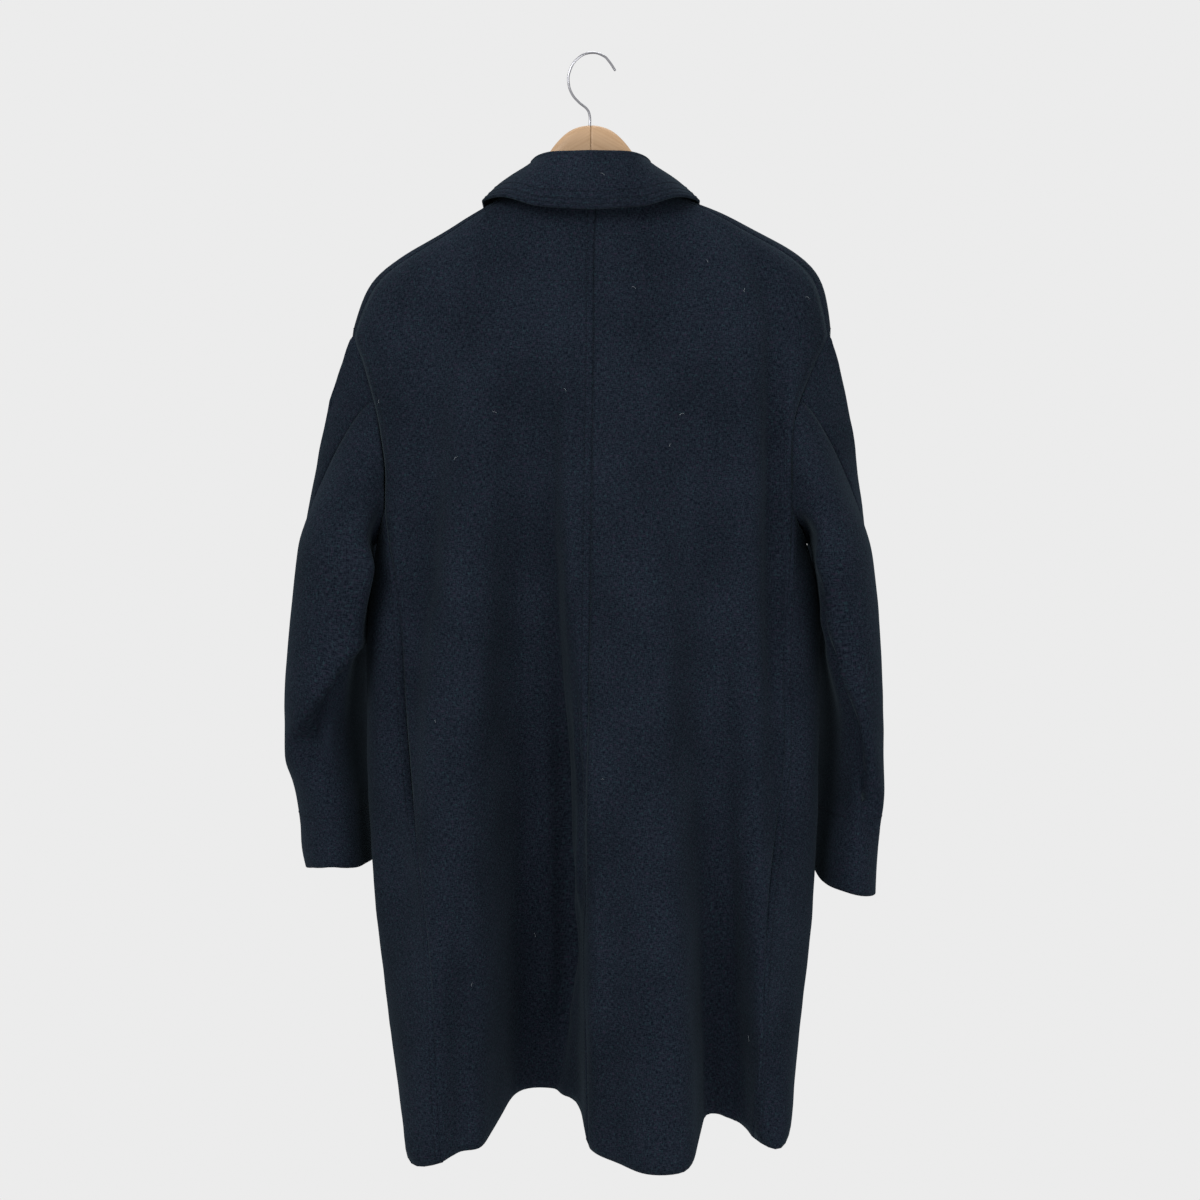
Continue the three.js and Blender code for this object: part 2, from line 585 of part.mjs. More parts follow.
// The places of the sleeve's columns round a section, so that its two seams run as they do in the coat
function sleeveTurns(curve, half, z) {
  const { side } = columnCount;
  const { armhole } = rowCount;
  const { steps } = sleeve;
  const first = sleeve.seamAtOuter;
  const turns = range(steps).map((i) => first + i / steps);
  const lengths = [0];
  turns.slice(1).forEach((turn, i) => {
    const step = sleevePoint(curve, half, turn, z).distanceTo(sleevePoint(curve, half, turns[i], z));
    lengths.push(lengths[i] + step);
  });
  const rows = turns.map((turn, i) => ({ turn, length: lengths[i] }));
  const lengthOf = curveThrough(rows, 'turn', 'length');
  const turnAt = curveThrough(rows, 'length', 'turn');
  const stops = [
    { index: -sleeve.backSeamRow, turn: first },
    { index: side + sleeve.frontSeamRow, turn: sleeve.seamAtFront / 2 },
    { index: side + armhole + side / 2, turn: 0.5 },
    { index: 2 * (side + armhole) - sleeve.backSeamRow, turn: first + 1 },
  ];
  const stopLengths = stops.map((stop) => ({ index: stop.index, length: lengthOf(stop.turn) }));
  return (index) => {
    const i = stopLengths.findIndex((stop) => index <= stop.index);
    const from = stopLengths[Math.max(0, i - 1)];
    const to = stopLengths[Math.max(1, i)];
    return turnAt(mix(from.length, to.length, (index - from.index) / (to.index - from.index)));
  };
}

const openingAt = curveThrough(sleeveOpenings.map(({ sides, edges, opening }) => (
  { index: sides * columnCount.side + edges * rowCount.armhole, opening }
)), 'index', 'opening');

function sleeveGrid(half, loop, normals) {
  const table = sleeveSections[half];
  const curve = curvesOf(table, 'z');
  const firstZ = table[0].z;
  const lastZ = table[table.length - 1].z;
  const count = loop.length;
  const indices = range(count).map((i) => i - sleeve.backSeamRow);
  const turnsAtFirst = sleeveTurns(curve, half, firstZ);
  const starts = indices.map((index) => {
    const i = (index + count) % count;
    const point = loop[i];
    const normal = normals.get(keyOf(point));
    const along = loop[(i + 1) % count].clone().sub(loop[(i + count - 1) % count]);
    const into = along.cross(normal).normalize().multiplyScalar(half);
    const opening = openingAt(i) * DEGREE;
    const direction = into.multiplyScalar(Math.cos(opening)).addScaledVector(normal, Math.sin(opening));
    return { point, direction };
  });
  const rows = range(sleeveRows.cap).map((row) => indices.map((index, i) => {
    const { point, direction } = starts[i];
    const end = sleevePoint(curve, half, turnsAtFirst(index), firstZ);
    const span = end.distanceTo(point);
    const t = row / sleeveRows.cap;
    const startPull = direction.clone().multiplyScalar(span * sleeve.startPull);
    const endPull = new THREE.Vector3(0, 0, -span * sleeve.endPull);
    return point.clone().multiplyScalar((1 + 2 * t) * (1 - t) ** 2)
      .addScaledVector(startPull, t * (1 - t) ** 2)
      .addScaledVector(end, t * t * (3 - 2 * t))
      .addScaledVector(endPull, -t * t * (1 - t));
  }));
  for (let row = 1; row <= sleeveRows.arm; row += 1) {
    const z = mix(firstZ, lastZ, row / sleeveRows.arm);
    const turns = sleeveTurns(curve, half, z);
    rows.push(indices.map((index) => sleevePoint(curve, half, turns(index), z)));
  }
  return rows;
}

const columnsOf = (rows, from, to) => rows.map((row) => row.slice(from, to + 1));

// The collar: up the stand, over the roll line and down the leaf
function collarGrid() {
  const curve = curvesOf(collarStations, 'angle');
  const last = collarStations[collarStations.length - 1].angle;
  return range(collar.stations - 1).map((i) => {
    const turn = mix(-last, last, i / (collar.stations - 1));
    const half = turn < 0 ? LEFT : RIGHT;
    return collarSection(curve, half, Math.abs(turn));
  });
}

function collarSection(curve, half, angle) {
  const seam = neckPoint(half, angle * DEGREE);
  const outward = new THREE.Vector3(seam.x, seam.y, 0).normalize();
  const base = seam.clone().addScaledVector(outward, -cloth.thickness);
  base.z += cloth.seamGap / 2;
  const roll = new THREE.Vector3(half * curve.rollX(angle), curve.rollY(angle), curve.rollZ(angle));
  const edge = new THREE.Vector3(half * curve.edgeX(angle), curve.edgeY(angle), curve.edgeZ(angle));
  const fall = edge.clone().sub(roll).setZ(0).normalize();
  const radius = Math.min(collar.rollRadius, Math.max(collar.leastRadius, (roll.z - base.z) / 2));
  const centre = roll.clone().setZ(roll.z - radius);
  const points = range(collar.standSteps - 1).map((i) => {
    const top = centre.clone().addScaledVector(fall, -radius);
    return base.clone().lerp(top, i / collar.standSteps);
  });
  range(collar.rollSteps * 2).forEach((i) => {
    const arc = (Math.PI * i) / (collar.rollSteps * 2);
    const point = centre.clone().addScaledVector(fall, -radius * Math.cos(arc));
    points.push(point.setZ(centre.z + radius * Math.sin(arc)));
  });
  const leafTop = points[points.length - 1];
  range(collar.leafSteps - 1).forEach((i) => {
    const t = (i + 1) / collar.leafSteps;
    const point = leafTop.clone().lerp(edge, t);
    points.push(point.addScaledVector(fall, collar.bulge * Math.sin(Math.PI * t)));
  });
  return points;
}

// The hanger's arms, as sections from the joint to the end
function armGeometry(half) {
  const tilt = Math.tan(hanger.tilt * DEGREE) * half;
  const rings = hangerSections.map((row, i) => {
    const x = half * (i === 0 ? hanger.joint / 2 : row.x);
    const lift = tilt * Math.max(0, row.x - hanger.crest);
    return range(hanger.sideCount - 1).map((side) => {
      const angle = (2 * Math.PI * side) / hanger.sideCount;
      const shape = (value) => Math.sign(value) * Math.abs(value) ** (2 / hanger.edgePower);
      const y = row.forward + row.half * shape(Math.cos(angle));
      const z = row.top - row.height / 2 + (row.height / 2) * shape(Math.sin(angle)) + lift;
      return new THREE.Vector3(x, y, z);
    });
  });
  return loftGeometry(rings, half === LEFT);
}

// A closed solid through rings of as many points each
function loftGeometry(rings, flipped) {
  const positions = [];
  const indices = [];
  const sides = rings[0].length;
  rings.flat().forEach((point) => positions.push(...point.toArray()));
  const add = (a, b, c) => indices.push(...(flipped ? [a, c, b] : [a, b, c]));
  for (let ring = 0; ring + 1 < rings.length; ring += 1) {
    for (let side = 0; side < sides; side += 1) {
      const a = ring * sides + side;
      const b = ring * sides + ((side + 1) % sides);
      add(a, b, b + sides);
      add(a, b + sides, a + sides);
    }
  }
  const last = (rings.length - 1) * sides;
  for (let side = 1; side + 1 < sides; side += 1) {
    add(0, side + 1, side);
    add(last, last + side, last + side + 1);
  }
  const geometry = new THREE.BufferGeometry();
  geometry.setAttribute('position', new THREE.Float32BufferAttribute(positions, 3));
  geometry.setIndex(indices);
  geometry.computeVertexNormals();
  return geometry;
}

function solidOf(geometry) {
  const bare = geometry.clone();
  ['normal', 'uv'].forEach((name) => bare.deleteAttribute(name));
  const merged = mergeVertices(bare, weldDistance);
  const mesh = new wasm.Mesh({
    numProp: 3,
    vertProperties: new Float32Array(merged.getAttribute('position').array),
    triVerts: new Uint32Array(merged.getIndex().array),
  });
  return new wasm.Manifold(mesh);
}

function geometryOf(solid) {
  const mesh = solid.getMesh();
  const geometry = new THREE.BufferGeometry();
  geometry.setAttribute('position', new THREE.Float32BufferAttribute(mesh.vertProperties, 3));
  geometry.setIndex(new THREE.BufferAttribute(mesh.triVerts, 1));
  geometry.computeVertexNormals();
  return geometry;
}

// The hole for the hook's shank, shared by the two arms
function shankHole() {
  const hole = new THREE.CylinderGeometry(hook.hole, hook.hole, 2 * hook.depth, hook.sides);
  hole.rotateX(Math.PI / 2);
  hole.translate(hook.path[0].x, 0, hangerSections[0].top);
  return hole;
}

function drilledArm(half) {
  return geometryOf(solidOf(armGeometry(half)).subtract(solidOf(shankHole())));
}

function hookGeometry() {
  const stops = hook.path.map(({ x, z }) => new THREE.Vector3(x, 0, z));
  const path = new THREE.CatmullRomCurve3(stops, false, 'centripetal');
  const outline = new THREE.Shape();
  outline.absarc(0, 0, hook.wire, 0, 2 * Math.PI, false);
  return new THREE.ExtrudeGeometry(outline, {
    steps: hook.steps, curveSegments: hook.sides / 2, bevelEnabled: false, extrudePath: path,
  });
}

// A button with a raised rim, its axis along Y
function buttonGeometry() {
  const { radius, thickness, edge, rim, dish } = button;
  const profile = [
    [0, 0], [radius - edge, 0], [radius, edge], [radius, thickness - edge], [radius - edge, thickness],
    [radius - rim, thickness], [radius - rim - edge, thickness - dish], [0, thickness - dish],
  ];
  return new THREE.LatheGeometry(profile.map(([x, y]) => new THREE.Vector2(x, y)), button.segments);
}

function range(last) {
  return Array.from({ length: last + 1 }, (_, i) => i);
}

const finish = {
  cloth: new THREE.MeshStandardMaterial({ color: colour.cloth, roughness: 0.95, metalness: 0 }),
  button: new THREE.MeshStandardMaterial({ color: colour.button, roughness: 0.4, metalness: 0 }),
  wood: new THREE.MeshStandardMaterial({ color: colour.wood, roughness: 0.5, metalness: 0 }),
  steel: new THREE.MeshStandardMaterial({ color: colour.steel, roughness: 0.2, metalness: 1 }),
};

const overcoat = new THREE.Group();

function add(name, geometry, material) {
  const mesh = new THREE.Mesh(geometry, material.clone());
  mesh.name = name;
  overcoat.add(mesh);
  return mesh;
}

function addBodyAndSleeves() {
  const halves = [{ half: LEFT, side: 'left' }, { half: RIGHT, side: 'right' }];
  const panels = halves.map(({ half, side }) => {
    const back = backGrid(half);
    const front = frontGrid(half);
    return {
      half, side, back, front,
      backSheet: sheetOf(back, undefined, half === LEFT),
      frontSheet: sheetOf(front, isFrontCloth, half === LEFT),
    };
  });
  const bodyNormals = sharedNormals(panels.flatMap((panel) => [panel.backSheet, panel.frontSheet]));
  panels.forEach(({ half, side, back, front, backSheet, frontSheet }) => {
    add(`back_${side}`, clothWall(backSheet, bodyNormals), finish.cloth);
    add(`front_${side}`, clothWall(frontSheet, bodyNormals), finish.cloth);
    const arm = sleeveGrid(half, armholeLoop(back, front), bodyNormals);
    const topColumns = columnCount.side + sleeve.frontSeamRow + sleeve.backSeamRow;
    const sheets = {
      top: sheetOf(columnsOf(arm, 0, topColumns), undefined, half === LEFT),
      under: sheetOf(columnsOf(arm, topColumns, arm[0].length - 1), undefined, half === LEFT),
    };
    const armNormals = sharedNormals(Object.values(sheets));
    Object.entries(sheets).forEach(([name, sheet]) => {
      add(`sleeve_${side}_${name}`, clothWall(sheet, armNormals), finish.cloth);
    });
  });
}

function addCollar() {
  const sheet = sheetOf(collarGrid());
  add('collar', clothWall(sheet, sharedNormals([sheet])), finish.cloth);
}

// How far forward a piece reaches at one place, seen from the front
function depthAhead(mesh, x, z) {
  const from = new THREE.Vector3(x, 2 * sections[0].front, z);
  const hits = new THREE.Raycaster(from, new THREE.Vector3(0, -1, 0)).intersectObject(mesh);
  return hits[0].point.y;
}

// The buttons lie on the left front, on its centre line
function addButtons(front) {
  range(firstButton.count - 1).forEach((i) => {
    const z = firstButton.z - i * button.pitch;
    const turns = range(button.segments - 1).map((step) => (2 * Math.PI * step) / button.segments);
    const depths = turns.map((turn) => (
      depthAhead(front, button.radius * Math.sin(turn), z + button.radius * Math.cos(turn))
    ));
    const mesh = add(`button_${i + 1}`, buttonGeometry(), finish.button);
    mesh.position.set(0, Math.max(...depths) + button.clearance, z);
  });
}

function addHanger() {
  add('hanger_arm_left', drilledArm(LEFT), finish.wood);
  add('hanger_arm_right', drilledArm(RIGHT), finish.wood);
  add('hanger_hook', hookGeometry(), finish.steel);
}

addBodyAndSleeves();
addCollar();
addButtons(overcoat.getObjectByName('front_left'));
addHanger();

export default overcoat;
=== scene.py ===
# %% [markdown]
# This is a wide overcoat of dark wool on a wooden hanger, seen from behind.
# The imported CAD model is the frame: every new piece is made over one of its solids, in the same metres.
# Its box is kept now, so that it can be written out beside the finished coat's box at the end.
# %% Load the imported coat
import json
import math
import random

import bmesh
import bpy
import numpy as np
from mathutils import Vector, noise
from mathutils.bvhtree import BVHTree
from mathutils.kdtree import KDTree
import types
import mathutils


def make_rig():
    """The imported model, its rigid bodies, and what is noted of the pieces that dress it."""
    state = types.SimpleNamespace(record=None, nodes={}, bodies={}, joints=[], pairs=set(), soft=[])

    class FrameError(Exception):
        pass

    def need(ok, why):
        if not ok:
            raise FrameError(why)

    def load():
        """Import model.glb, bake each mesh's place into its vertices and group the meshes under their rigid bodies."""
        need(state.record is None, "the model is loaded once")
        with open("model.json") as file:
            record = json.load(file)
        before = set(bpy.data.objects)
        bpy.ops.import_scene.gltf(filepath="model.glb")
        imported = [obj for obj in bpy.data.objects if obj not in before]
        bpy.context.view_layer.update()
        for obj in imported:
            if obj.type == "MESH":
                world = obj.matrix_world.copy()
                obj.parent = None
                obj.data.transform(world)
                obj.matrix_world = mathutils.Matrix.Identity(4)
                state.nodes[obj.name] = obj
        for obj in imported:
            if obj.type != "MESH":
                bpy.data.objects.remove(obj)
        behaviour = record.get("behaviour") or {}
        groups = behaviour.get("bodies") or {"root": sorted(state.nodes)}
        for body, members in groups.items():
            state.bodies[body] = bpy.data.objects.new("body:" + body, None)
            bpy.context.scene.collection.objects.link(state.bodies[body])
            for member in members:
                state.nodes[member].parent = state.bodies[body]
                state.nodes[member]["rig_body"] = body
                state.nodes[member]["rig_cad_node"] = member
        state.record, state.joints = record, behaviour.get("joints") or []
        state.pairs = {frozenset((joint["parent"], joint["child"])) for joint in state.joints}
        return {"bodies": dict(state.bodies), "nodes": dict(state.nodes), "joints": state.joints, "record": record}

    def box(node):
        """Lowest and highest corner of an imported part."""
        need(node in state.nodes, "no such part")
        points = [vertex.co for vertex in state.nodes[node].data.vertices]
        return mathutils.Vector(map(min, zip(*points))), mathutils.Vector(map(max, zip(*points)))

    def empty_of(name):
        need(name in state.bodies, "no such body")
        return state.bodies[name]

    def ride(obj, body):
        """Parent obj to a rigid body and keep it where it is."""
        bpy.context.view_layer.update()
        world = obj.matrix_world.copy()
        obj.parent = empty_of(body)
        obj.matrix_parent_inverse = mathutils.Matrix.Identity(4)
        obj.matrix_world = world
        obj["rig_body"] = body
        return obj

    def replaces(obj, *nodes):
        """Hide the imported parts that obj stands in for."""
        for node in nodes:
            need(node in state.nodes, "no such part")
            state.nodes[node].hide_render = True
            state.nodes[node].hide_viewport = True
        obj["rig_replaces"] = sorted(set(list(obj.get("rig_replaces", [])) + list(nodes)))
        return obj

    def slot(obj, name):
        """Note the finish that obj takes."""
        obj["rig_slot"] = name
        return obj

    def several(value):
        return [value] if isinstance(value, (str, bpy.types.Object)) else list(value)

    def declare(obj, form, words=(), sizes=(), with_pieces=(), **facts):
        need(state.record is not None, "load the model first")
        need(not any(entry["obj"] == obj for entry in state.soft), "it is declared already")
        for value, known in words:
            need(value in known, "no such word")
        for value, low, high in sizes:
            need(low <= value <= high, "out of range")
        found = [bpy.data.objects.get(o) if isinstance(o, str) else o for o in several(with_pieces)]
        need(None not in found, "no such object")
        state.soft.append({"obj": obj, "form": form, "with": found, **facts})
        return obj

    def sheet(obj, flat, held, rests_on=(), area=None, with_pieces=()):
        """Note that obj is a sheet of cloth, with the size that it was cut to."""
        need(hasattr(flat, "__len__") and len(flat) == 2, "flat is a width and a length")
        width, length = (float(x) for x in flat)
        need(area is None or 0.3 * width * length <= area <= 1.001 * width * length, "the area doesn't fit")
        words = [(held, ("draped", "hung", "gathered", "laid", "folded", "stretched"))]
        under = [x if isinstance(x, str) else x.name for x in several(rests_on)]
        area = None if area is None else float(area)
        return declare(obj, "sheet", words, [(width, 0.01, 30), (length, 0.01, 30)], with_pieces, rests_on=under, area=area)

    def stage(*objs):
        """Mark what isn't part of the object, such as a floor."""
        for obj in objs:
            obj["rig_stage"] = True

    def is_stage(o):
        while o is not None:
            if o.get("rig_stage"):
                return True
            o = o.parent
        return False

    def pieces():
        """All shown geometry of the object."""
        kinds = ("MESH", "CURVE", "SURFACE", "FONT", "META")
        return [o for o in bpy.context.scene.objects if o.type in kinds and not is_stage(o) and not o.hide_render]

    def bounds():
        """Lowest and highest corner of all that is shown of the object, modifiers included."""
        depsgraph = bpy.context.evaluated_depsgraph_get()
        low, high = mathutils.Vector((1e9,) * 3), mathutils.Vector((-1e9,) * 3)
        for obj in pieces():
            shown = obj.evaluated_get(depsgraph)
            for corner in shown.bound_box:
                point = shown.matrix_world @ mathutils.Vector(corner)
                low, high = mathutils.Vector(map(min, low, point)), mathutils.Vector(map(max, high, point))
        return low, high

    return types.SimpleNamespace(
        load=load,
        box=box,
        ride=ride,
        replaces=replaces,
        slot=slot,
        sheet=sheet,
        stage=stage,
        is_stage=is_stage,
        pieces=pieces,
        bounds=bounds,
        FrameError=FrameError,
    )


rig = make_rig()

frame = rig.load()
cad_box = [list(corner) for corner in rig.bounds()]
print("CAD box in metres:", cad_box)

# %% [markdown]
# The photo was taken level with the chest, from a little over two metres behind the coat.
# A lens of 64 mm on a 36 mm sensor gives the same 1.05 mm of coat to each pixel, and the same slight perspective.
# %% Camera
EYE = Vector((0.00945, -2.25, -0.40))
LOOK_DOWN = math.radians(4.21)
camera_data = bpy.data.cameras.new("camera")
camera_data.lens = 64.3
camera_data.sensor_width = 36
camera = bpy.data.objects.new("camera", camera_data)
bpy.context.collection.objects.link(camera)
camera.location = EYE
camera.rotation_euler = (math.radians(90) - LOOK_DOWN, 0, 0)
bpy.context.scene.camera = camera
print("camera at", tuple(camera.location))

# %% [markdown]
# A studio shot of dark wool needs soft light from all round, or the folds turn black.
# The pale surroundings give most of it, and large lamps above and beside the camera shape the folds.
# The floor lies well below the hem and has the surroundings' own grey, so it makes no line behind the coat.
# %% Light and floor
SURROUND = (0.838, 0.838, 0.838, 1)
scene = bpy.context.scene
scene.view_settings.view_transform = "Standard"
scene.world = bpy.data.worlds.new("studio")
scene.world.use_nodes = True
scene.world.node_tree.nodes["Background"].inputs["Color"].default_value = SURROUND
scene.world.node_tree.nodes["Background"].inputs["Strength"].default_value = 1.0


def lamp(name, place, target, size, power):
    """A square soft box at a place, turned to a target."""
    data = bpy.data.lights.new(name, "AREA")
    data.size = size
    data.energy = power
    made = bpy.data.objects.new(name, data)
    bpy.context.collection.objects.link(made)
    made.location = place
    made.rotation_euler = (Vector(target) - Vector(place)).to_track_quat("-Z", "Y").to_euler()
    return made


lamp("key", (-1.4, -2.4, 0.9), (0, 0, -0.6), 1.3, 60)
lamp("fill", (1.4, -2.0, -1.2), (0, 0, -1.0), 1.4, 26)
lamp("top", (0.2, 0.4, 1.9), (0, 0, -0.4), 1.4, 34)

bpy.ops.object.select_all(action="DESELECT")
bpy.ops.mesh.primitive_plane_add(size=40, location=(0, 0, -1.75))
floor = bpy.context.object
floor.name = "floor"
floor_paint = bpy.data.materials.new("floor_paint")
floor_paint.use_nodes = True
floor_shader = floor_paint.node_tree.nodes["Principled BSDF"]
floor_shader.inputs["Base Color"].default_value = (0, 0, 0, 1)
floor_shader.inputs["Specular IOR Level"].default_value = 0
floor_shader.inputs["Emission Color"].default_value = SURROUND
floor_shader.inputs["Emission Strength"].default_value = 1.0
floor.data.materials.append(floor_paint)
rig.stage(floor)
print("three lamps and a floor")

# %% [markdown]
# Small helpers keep the lesson short.
# Every operator acts on what is selected, so one piece is picked alone before each step.
# %% Helpers for picking and finishing a piece
MM = 0.001


def pick(piece):
    """Selects one piece alone and makes it active."""
    bpy.ops.object.select_all(action="DESELECT")
    piece.select_set(True)
    bpy.context.view_layer.objects.active = piece


def apply_modifiers(piece):
    """Applies every modifier of a piece in turn."""
    pick(piece)
    for modifier in list(piece.modifiers):
        bpy.ops.object.modifier_apply(modifier=modifier.name)


def new_piece(name, mesh):
    """A piece from a finished mesh."""
    piece = bpy.data.objects.new(name, mesh)
    bpy.context.collection.objects.link(piece)
    return piece


def settle(piece, slot, *nodes):
    """The piece moves with the coat, has a finish and stands for its solids."""
    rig.ride(piece, "root")
    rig.slot(piece, slot)
    if nodes:
        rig.replaces(piece, *nodes)


def coordinates(mesh):
    """The points of a mesh as rows of x, y and z."""
    rows = np.empty(len(mesh.vertices) * 3)
    mesh.vertices.foreach_get("co", rows)
    return rows.reshape(-1, 3)


def set_coordinates(mesh, rows):
    mesh.vertices.foreach_set("co", rows.ravel())
    mesh.update()


def smooth_step(values, low, high):
    """Nought below low, one above high, and a soft rise between them."""
    t = np.clip((values - low) / (high - low), 0, 1)
    return t * t * (3 - 2 * t)


# %% [markdown]
# A cloth panel of the CAD model is a wall with an outer and an inner face.
# The outer face is taken alone: the narrow rims are the faces with an edge as long as the cloth is thick.
# What is left falls in two, and the half that looks away from the inside of the coat is kept.
# %% Take the outer face of a cloth wall
CLOTH = 2.4 * MM


def islands(bm):
    """The separate groups of joined faces."""
    left = set(bm.faces)
    while left:
        group = [left.pop()]
        for face in group:
            for edge in face.edges:
                for other in edge.link_faces:
                    if other in left:
                        left.remove(other)
                        group.append(other)
        yield group


def outwardness(group, core):
    """How much a group of faces looks away from the core."""
    total = 0
    for face in group:
        centre = face.calc_center_median()
        total += face.calc_area() * face.normal.dot((centre - core(centre)).normalized())
    return total


def outer_face(node, core):
    """A new mesh of four-sided faces: the outer face of a cloth wall."""
    bm = bmesh.new()
    bm.from_mesh(bpy.data.objects[node].data)
    bmesh.ops.remove_doubles(bm, verts=bm.verts, dist=0.02 * MM)
    rims = [f for f in bm.faces if any(abs(e.calc_length() - CLOTH) < 0.02 * MM for e in f.edges)]
    bmesh.ops.delete(bm, geom=rims, context="FACES")
    bm.normal_update()
    groups = sorted(islands(bm), key=len)[-2:]
    kept = set(max(groups, key=lambda group: outwardness(group, core)))
    bmesh.ops.delete(bm, geom=[f for f in bm.faces if f not in kept], context="FACES")
    bmesh.ops.join_triangles(bm, faces=bm.faces[:], angle_face_threshold=math.pi,
                             angle_shape_threshold=math.pi)
    mesh = bpy.data.meshes.new(node + "_cloth")
    bm.to_mesh(mesh)
    bm.free()
    return mesh


def inside_coat(centre):
    """The middle of the coat's body, level with a point but below the shoulders."""
    return Vector((0, 0, min(centre.z, -0.35)))


def inside_sleeve(centre):
    return Vector((math.copysign(0.268, centre.x), 0.02, min(centre.z, -0.5)))


def inside_neck(centre):
    return Vector((0, 0.01, min(centre.z, -0.15)))


# %% [markdown]
# The flat pattern comes from unwrapping: it is the shape that a cutter would lay on the cloth.
# It is turned so that the grain runs down the coat and scaled to metres, so the weave has its real size.
# %% Lay the panel flat
def lay_flat(piece):
    """Unwraps a panel to its flat pattern in metres, grain down. Returns its width, length and area."""
    pick(piece)
    bpy.ops.object.mode_set(mode="EDIT")
    bpy.ops.mesh.select_all(action="SELECT")
    bpy.ops.uv.unwrap(method="ANGLE_BASED", margin=0)
    bpy.ops.object.mode_set(mode="OBJECT")
    mesh = piece.data
    uv = np.empty(len(mesh.loops) * 2)
    mesh.uv_layers.active.data.foreach_get("uv", uv)
    uv = uv.reshape(-1, 2)
    flat_area, real_area, grain = 0.0, 0.0, np.zeros(2)
    for face in mesh.polygons:
        corners = uv[list(face.loop_indices)]
        heights = np.array([mesh.vertices[i].co.z for i in face.vertices])
        x, y = corners[:, 0], corners[:, 1]
        flat_area += abs(np.dot(x, np.roll(y, -1)) - np.dot(y, np.roll(x, -1))) / 2
        real_area += face.area
        grain += (heights - heights.mean()) @ (corners - corners.mean(axis=0))
    turn = math.atan2(grain[0], grain[1])
    scale = math.sqrt(real_area / flat_area)
    spin = np.array([[math.cos(turn), math.sin(turn)], [-math.sin(turn), math.cos(turn)]]) * scale
    uv = uv @ spin
    uv -= uv.min(axis=0)
    mesh.uv_layers.active.data.foreach_set("uv", uv.ravel())
    width, length = uv.max(axis=0)
    return float(width), float(length), float(real_area)


# %% [markdown]
# Subdivision rounds the facets off, but it also draws the surface in from its corners.
# The corners are first pushed out by as much as they would be drawn in, so the fine cloth still passes
# through every point of the solid and the panels still meet at their seams.
# %% Smooth a panel through its own points
FINENESS = 2


def subdivided(piece, levels):
    modifier = piece.modifiers.new("finer", "SUBSURF")
    modifier.levels = modifier.render_levels = levels
    modifier.boundary_smooth = "PRESERVE_CORNERS"
    return modifier


def smooth_through(piece, rounds=4):
    """Subdivides a panel so that its surface keeps the points it had."""
    wanted = coordinates(piece.data)
    control = wanted.copy()
    subdivided(piece, FINENESS)
    for _ in range(rounds):
        set_coordinates(piece.data, control)
        graph = bpy.context.evaluated_depsgraph_get()
        reached = coordinates(piece.evaluated_get(graph).data)[:len(wanted)]
        control = control + 0.9 * (wanted - reached)
    set_coordinates(piece.data, control)
    apply_modifiers(piece)
    missed = np.abs(coordinates(piece.data)[:len(wanted)] - wanted).max()
    return missed


# %% [markdown]
# Every panel is made the same way, from one table that names its solid, where its inside is and what it hangs on.
# %% Make the nine panels
PANELS = {
    "back_left": (inside_coat, ["hanger_arm_left_wood"]),
    "back_right": (inside_coat, ["hanger_arm_right_wood"]),
    "front_left": (inside_coat, ["hanger_arm_left_wood"]),
    "front_right": (inside_coat, ["hanger_arm_right_wood"]),
    "sleeve_left_top": (inside_sleeve, ["front_left_cloth", "back_left_cloth"]),
    "sleeve_left_under": (inside_sleeve, ["front_left_cloth", "back_left_cloth"]),
    "sleeve_right_top": (inside_sleeve, ["front_right_cloth", "back_right_cloth"]),
    "sleeve_right_under": (inside_sleeve, ["front_right_cloth", "back_right_cloth"]),
    "collar": (inside_neck, ["back_left_cloth", "back_right_cloth"]),
}
panels, cuts = {}, {}
for node, (core, _) in PANELS.items():
    panel = new_piece(node + "_cloth", outer_face(node, core))
    cuts[node] = lay_flat(panel)
    missed = smooth_through(panel)
    panel.data.polygons.foreach_set("use_smooth", [True] * len(panel.data.polygons))
    panels[node] = panel
    print(node, len(panel.data.polygons), "faces, cut %.3f x %.3f m, %.3f m2" % cuts[node],
          "missed by %.2f mm" % (missed / MM))

# %% [markdown]
# The large folds come with the solids. The small ones are listed here, as soft troughs and ridges.
# Each row is one crease on one side of the coat, from one place to another, in millimetres across and up.
# The forearms have long soft hollows, and the back has a faint fold line across it from storage.
# %% Creases placed by hand
CREASES = [
    # side, x1, z1, x2, z2, width, depth
    ("back", -247, -650, -300, -735, 9, -1.5),
    ("back", -242, -735, -240, -845, 9, -3.0),
    ("back", 253, -741, 243, -850, 8, -2.6),
    ("back", 292, -715, 295, -790, 7, -2.0),
    ("back", -306, -790, -232, -791, 5, -1.0),
    ("back", 240, -792, 312, -792, 5, -1.0),
    ("back", 187, -225, 189, -700, 10, -6.0),
    ("back", 206, -300, 204, -640, 10, 1.5),
    ("back", -24, -560, -22, -1320, 13, -14.0),
    ("back", 4, -560, 6, -1250, 12, 3.0),
    ("back", 126, -760, 122, -1250, 10, -3.0),
    ("back", -165, -330, -163, -600, 16, -3.0),
    ("back", 44, -687, 143, -688, 4, -0.8),
    ("back", -185, -700, -98, -692, 4, -0.8),
    ("front", -306, -790, -232, -791, 5, -1.0),
    ("front", 240, -792, 312, -792, 5, -1.0),
    ("front", -170, -300, -120, -480, 14, -2.2),
    ("front", 165, -310, 125, -500, 14, -2.0),
    ("front", -60, -560, -150, -690, 12, -1.4),
]


def directions(mesh):
    """The normals of a mesh's points as rows."""
    rows = np.empty(len(mesh.vertices) * 3)
    mesh.vertices.foreach_get("normal", rows)
    return rows.reshape(-1, 3)


